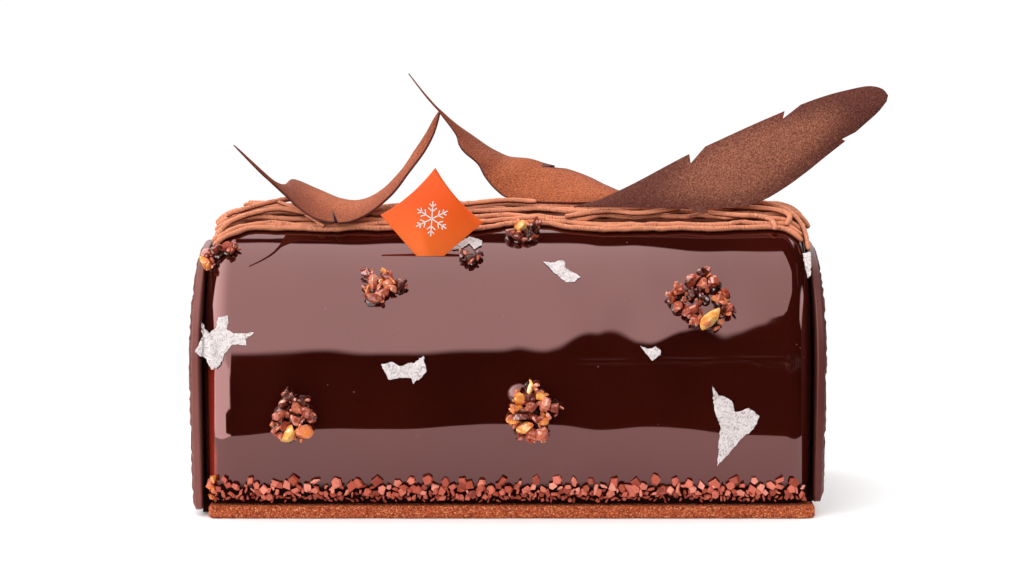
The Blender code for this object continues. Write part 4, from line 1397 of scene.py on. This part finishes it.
def glaze_beads(finish):
    """Drops of glaze that stand round beside the nut clusters."""
    heap = Heap()
    points, faces = ball(4)
    for number, u, v, wide, tall in BEADS:
        along, turn = spot_of(f"nut_cluster_{number}")
        placed = seat(along + u * MM, turn + v * MM * TURN_PER_METRE, 0.2 * MM)
        placed = placed @ Matrix.Diagonal((wide * MM, tall * MM, 0.5 * wide * MM, 1.0))
        heap.add([placed @ point for point in points], faces, foot=0.0, thin=0.0)
    return heap.piece("glaze_beads", finish)


# The pale nut's bits: place along from its middle, height, lift and size in millimetres
GOLDEN_NUT_BITS = ((0.2, 12.0, 1.2, 3.6), (-0.8, 9.6, 1.6, 3.4), (0.6, 8.2, 1.8, 3.0), (-0.4, 6.4, 1.4, 2.8))


def golden_nut(finish):
    """A pale broken nut at the left end of the front row of nibs."""
    chance = random.Random(90)
    heap = Heap()
    for u, z, lift, size in GOLDEN_NUT_BITS:
        points, faces = lump([size * MM, size * MM * 0.8, size * MM * 0.6], 11, chance)
        turn = (z * MM - CAKE_WIDEST_Z) * TURN_PER_METRE
        placed = seat(GOLDEN_NUT_ALONG + u * MM, turn, lift * MM) @ tumble(chance, 0.4)
        heap.add([placed @ point for point in points], faces, tone=chance.uniform(0.66, 0.80))
    return heap.piece("golden_nut", finish, (), 24.0)


# Silver leaf: place along, turn, and outline in millimetres
LEAVES = (
    (-0.0861, 16.4, ((-5.0, 5.9), (-2.5, 2.3), (-0.6, 4.1), (0.0, 7.3), (3.0, 7.9), (3.2, 5.6), (2.6, 3.8),
                     (4.7, 2.3), (10.8, 2.5), (8.2, 0.6), (8.5, -1.2), (4.7, -0.9), (2.1, -3.8), (0.9, -7.0),
                     (-1.8, -8.5), (-3.2, -5.3), (-6.7, -3.5), (-4.4, 1.2))),
    (-0.0309, 6.4, ((-6.7, 1.5), (-3.2, 2.1), (-1.2, 0.9), (1.5, 1.9), (3.2, 1.8), (5.9, 4.0), (6.7, -0.9),
                    (2.9, -4.4), (2.1, -2.6), (-0.3, -2.6), (-4.4, -3.1), (-5.6, -0.9))),
    (0.0162, 44.5, ((-5.7, 3.3), (-2.8, 3.0), (-0.7, 3.9), (0.8, 3.3), (0.9, 1.1), (5.6, -2.5), (3.7, -4.4),
                    (1.1, -4.4), (-2.8, -0.4))),
    (0.0424, 12.4, ((-3.2, 2.1), (-1.1, 1.1), (0.4, 1.2), (1.3, 1.9), (2.9, 0.6), (2.8, -0.9), (0.4, -2.5),
                    (-1.6, -0.3))),
    (0.0671, -13.0, ((-6.6, 11.4), (-4.9, 8.5), (-2.9, 8.0), (-0.8, 6.7), (0.4, 3.3), (4.5, 4.5), (7.6, 2.1),
                     (5.9, -1.8), (2.7, -4.4), (-0.8, -8.5), (-4.8, -13.2), (-4.0, -0.9), (-5.9, 4.4))),
    (0.0899, 47.0, ((-1.3, 4.4), (1.1, 5.0), (1.0, 0.0), (0.7, -4.2), (-0.4, -5.4), (-0.9, -0.6))),
    (-0.0124, 58.2, ((-4.6, -2.6), (0.7, 3.5), (2.7, 2.6), (4.6, 1.6), (4.4, -1.0), (2.0, -2.6), (0.9, 0.0),
                     (-2.3, -2.6))),
)


def over_ends(along, turn, lift):
    """As on_cake, but running straight on over the ends, as a film does that bridges them."""
    outline, outward = section(turn)
    point = outline + outward * lift
    point.x = along
    return point


def leaf_patch(number, along, turn, outline, finish):
    """A scrap of silver leaf, crumpled and lifting a little off the glaze."""
    chance = random.Random(70 + number)
    edge = []
    for k, corner in enumerate(outline):
        following = Vector(outline[(k + 1) % len(outline)])
        corner = Vector(corner)
        count = max(int((following - corner).length / LEAF_EDGE_STEP), 1)
        for part in range(count):
            spot = corner.lerp(following, part / count)
            ragged = 0.22 if part else 0.0
            edge.append(spot + Vector((chance.uniform(-ragged, ragged), chance.uniform(-ragged, ragged))))
    loop = [(k, (k + 1) % len(edge)) for k in range(len(edge))]
    low = Vector((min(p.x for p in edge), min(p.y for p in edge)))
    high = Vector((max(p.x for p in edge), max(p.y for p in edge)))
    inner = []
    for x in steps(low.x, high.x, int((high.x - low.x) / LEAF_NET_STEP)):
        for y in steps(low.y, high.y, int((high.y - low.y) / LEAF_NET_STEP)):
            inner.append(Vector((x + chance.uniform(-0.15, 0.15), y + chance.uniform(-0.15, 0.15))))
    corners, _, faces, _, _, _ = delaunay_2d_cdt(edge + inner, loop, [], 1, 1e-5)
    over = []
    under = []
    for u, v in corners:
        place = along + u * MM
        crumple = 0.16 * abs(uneven(u, v, 0.9, number)) + 0.12 * abs(uneven(u, v, 2.1, number + 5.0))
        lift = 0.12 + crumple + 0.5 * max(uneven(u, v, 0.22, number + 9.0), 0.0)
        # Past the log's ends it lies over the gaps and the plaques
        if place < LEAF_PAST_LEFT:
            lift += LEAF_LEFT_LIFT
        if place > LEAF_PAST_RIGHT:
            lift += LEAF_RIGHT_LIFT
        round_log = turn + v * MM * TURN_PER_METRE
        over.append(over_ends(place, round_log, (lift + LEAF_HALF_THICKNESS) * MM))
        under.append(over_ends(place, round_log, (lift - LEAF_HALF_THICKNESS) * MM))
    skins, _ = two_skins([tuple(face) for face in faces], len(over))
    heap = Heap()
    heap.add(over + under, skins)
    return heap.piece(f"silver_leaf_{number}", finish, (), 30.0)


# Stage

def white_floor():
    """A white oval board under the cake: the glaze mirrors it as a pale band above the nibs."""
    points = []
    for k in range(96):
        a = 2.0 * math.pi * k / 96
        points.append((FLOOR_HALF_LENGTH * math.cos(a), FLOOR_HALF_WIDTH * math.sin(a), -FLOOR_DROP))
    mesh = bpy.data.meshes.new("white_floor")
    mesh.from_pydata(points, [], [tuple(range(len(points)))])
    floor = bpy.data.objects.new("white_floor", mesh)
    bpy.context.scene.collection.objects.link(floor)
    finish = new_finish("white_board")
    across = finish.part(finish.place(), "X")
    # Painted light: the board is a shade lighter on the left, as lit from the left
    color = finish.mix(finish.between(across, -0.12, 0.12), (0.97, 0.968, 0.968), (0.95, 0.947, 0.947))
    floor.data.materials.append(finish.coat_surface({
        "Base Color": color,
        "Roughness": 0.9,
        "Specular IOR Level": 0.1,
    }))


def soft_light():
    """A world of soft panels, and a lamp from the upper left.

    What the glaze mirrors is worked out by the turn of a ray, from the front's horizon at 0 over the
    zenith at 90 to the back's horizon at 180, and by how far it leans to the right. There is a wide panel
    over the front, a brighter one on the left down to the floor, one over the back, two strips on the
    right, and a dim room beyond them. Everything matt is lit mostly from above and from the left.
    """
    world = bpy.data.worlds.new("soft_light")
    bpy.context.scene.world = world
    studio = Finish(world)
    way = studio.node("ShaderNodeTexCoord", output="Generated")
    x = studio.part(way, "X")
    y = studio.part(way, "Y")
    z = studio.part(way, "Z")
    leftward = 0.0 - x
    turn = z.sum("ARCTAN2", z, 0.0 - y) * (180.0 / math.pi)

    # The panel over the front: its lower edge rises to the right, and its right corners are round
    sill = 12.5 + studio.between(x, -0.02, 0.11) * 20.0 - studio.between(leftward, 0.1045, 0.1135) * 16.0
    over_sill = turn - sill
    past_crown = turn - (106.0 - studio.between(x, 0.02, 0.08) * 9.0)
    corner = studio.between(over_sill, 6.0, 34.0) * (1.0 - studio.between(past_crown, -16.0, 2.0)) * 0.38
    corner = corner + studio.between(over_sill, 0.0, 10.0) * 0.010
    over = studio.between(over_sill, 0.0, 5.0) * (1.0 - studio.between(past_crown, 0.0, 2.0))
    over = over * (1.0 - studio.between(x - corner, 0.0915, 0.0985))

    # The left panel: it fades in gradually above the horizon, and sharply below it
    high = studio.between(turn, 3.0, 18.0)
    neck = 1.0 - studio.between((z + 0.25).size(), 0.020, 0.030)
    left = studio.between(leftward, 0.112 - high * 0.062 + neck * 0.16, 0.135 + high * 0.915 + neck * 0.20)
    left = left * (1.0 - studio.between(leftward, 0.96, 0.99))
    left = left * studio.span(turn, (-45.0, -38.0), (100.0, 106.0))

    back_sill = studio.between(x, -0.095, -0.055) * 8.0 + 111.5
    back = studio.between(turn - back_sill, 0.0, 2.0) * (1.0 - studio.between(turn, 163.0, 171.0))
    back = back * (1.0 - studio.between(x.size(), 0.5, 0.6))
    upper = studio.span(x, (0.86, 0.89), (0.93, 0.95)) * studio.span(turn, (50.0, 60.0), (120.0, 135.0))
    lower = studio.between(x, 0.980, 0.988) * studio.span(z, (-0.31, -0.29), (0.40, 0.55))
    drift = studio.cloud(way, 9.0, 3.0, 0.6, 1.5)
    room = studio.between(drift, 0.48, 0.64) * studio.between(x, 0.03, 0.08)
    room = room * studio.span(turn, (-2.0, 3.0), (9.0, 15.0))

    mirrored = over * (OVER_LIGHT - studio.between(x, 0.02, 0.11) * 0.5) * (1.0 - left)
    mirrored = mirrored + left * (LEFT_LIGHT + high * 0.7) + back * BACK_LIGHT
    mirrored = mirrored + (upper + lower) * STRIP_LIGHT + room * ROOM_LIGHT + DARK_LIGHT
    fill = studio.between(z, -0.10, 0.70) * FILL_ABOVE + studio.between(leftward, 0.40, 0.95) * FILL_LEFT
    fill = fill + FILL_ROUND
    rays = studio.node("ShaderNodeLightPath", output="Is Camera Ray")
    glossy = studio.node("ShaderNodeLightPath", output="Is Glossy Ray")
    strength = mirrored * glossy + fill * (1.0 - glossy)
    strength = strength * (1.0 - rays) + rays * BACKDROP_LIGHT
    background = world.node_tree.nodes["Background"]
    studio.plug(background.inputs["Strength"], strength)
    background.inputs["Color"].default_value = (1.0, 1.0, 1.0, 1.0)

    lamp = bpy.data.lights.new("upper_left", "AREA")
    lamp.size = LAMP_SIZE
    lamp.energy = LAMP_ENERGY
    upper_left = bpy.data.objects.new("upper_left", lamp)
    upper_left.location = LAMP_PLACE
    upper_left.rotation_euler = (LAMP_AIM - LAMP_PLACE).to_track_quat("-Z", "Y").to_euler()
    upper_left.visible_glossy = False
    bpy.context.scene.collection.objects.link(upper_left)


def camera():
    """Front view from a little above, through a long lens."""
    lens = bpy.data.cameras.new("front")
    lens.lens = CAMERA_LENS
    lens.sensor_width = 36.0
    view = bpy.data.objects.new("front", lens)
    view.location = CAMERA_PLACE
    view.rotation_euler = (math.radians(CAMERA_PITCH), 0.0, 0.0)
    bpy.context.scene.collection.objects.link(view)
    bpy.context.scene.camera = view


def build():
    """The stage and its light, the finishes, and every piece of the cake."""
    bpy.context.scene.view_settings.view_transform = "Standard"
    camera()
    soft_light()
    white_floor()

    glaze = mirror_glaze()
    chocolate = plain_chocolate()
    nuts = caramel_nuts()
    nib = cocoa_nib()
    silver = silver_leaf()
    bronze = dusted_chocolate(
        "bronze_dust",
        bare=(0.25, 0.058, 0.026),
        powder=(0.43, 0.104, 0.038),
        gold=(0.66, 0.21, 0.085),
        dark=(0.12, 0.017, 0.007),
        rim_color=(0.120, 0.028, 0.019),
    )
    dark_bronze = dusted_chocolate(
        "dark_bronze_dust",
        bare=(0.125, 0.032, 0.022),
        powder=(0.30, 0.096, 0.054),
        gold=(0.52, 0.22, 0.130),
        dark=(0.055, 0.010, 0.006),
        rim_color=(0.17, 0.026, 0.019),
    )

    glazed_log(glaze)
    shaded_end_glaze(glaze)
    glaze_beads(glaze)
    biscuit_slab(crumbly_biscuit())
    chocolate_plaque("left", -1.0, chocolate)
    chocolate_plaque("right", 1.0, chocolate)
    piped_cream(chestnut_cream())
    feather("left", FEATHER_LEFT, NICKS_LEFT, POWDER_LEFT, BARE_LEFT, bronze)
    feather("middle", FEATHER_MIDDLE, NICKS_MIDDLE, POWDER_MIDDLE, (), bronze)
    feather("right", FEATHER_RIGHT, NICKS_RIGHT, POWDER_RIGHT, (), dark_bronze)
    barb_flap(dark_bronze)
    orange_tag(orange_card())
    tag_snowflake(white_print())
    nib_row("nibs_front", "nib_border_front", True, nib)
    nib_row("nibs_back", "nib_border_back", False, nib)
    for number in sorted(CLUSTER_BITS):
        nut_cluster(number, nuts)
    golden_nut(nuts)
    for number, (along, turn, outline) in enumerate(LEAVES, start=1):
        leaf_patch(number, along, turn, outline, silver)


build()
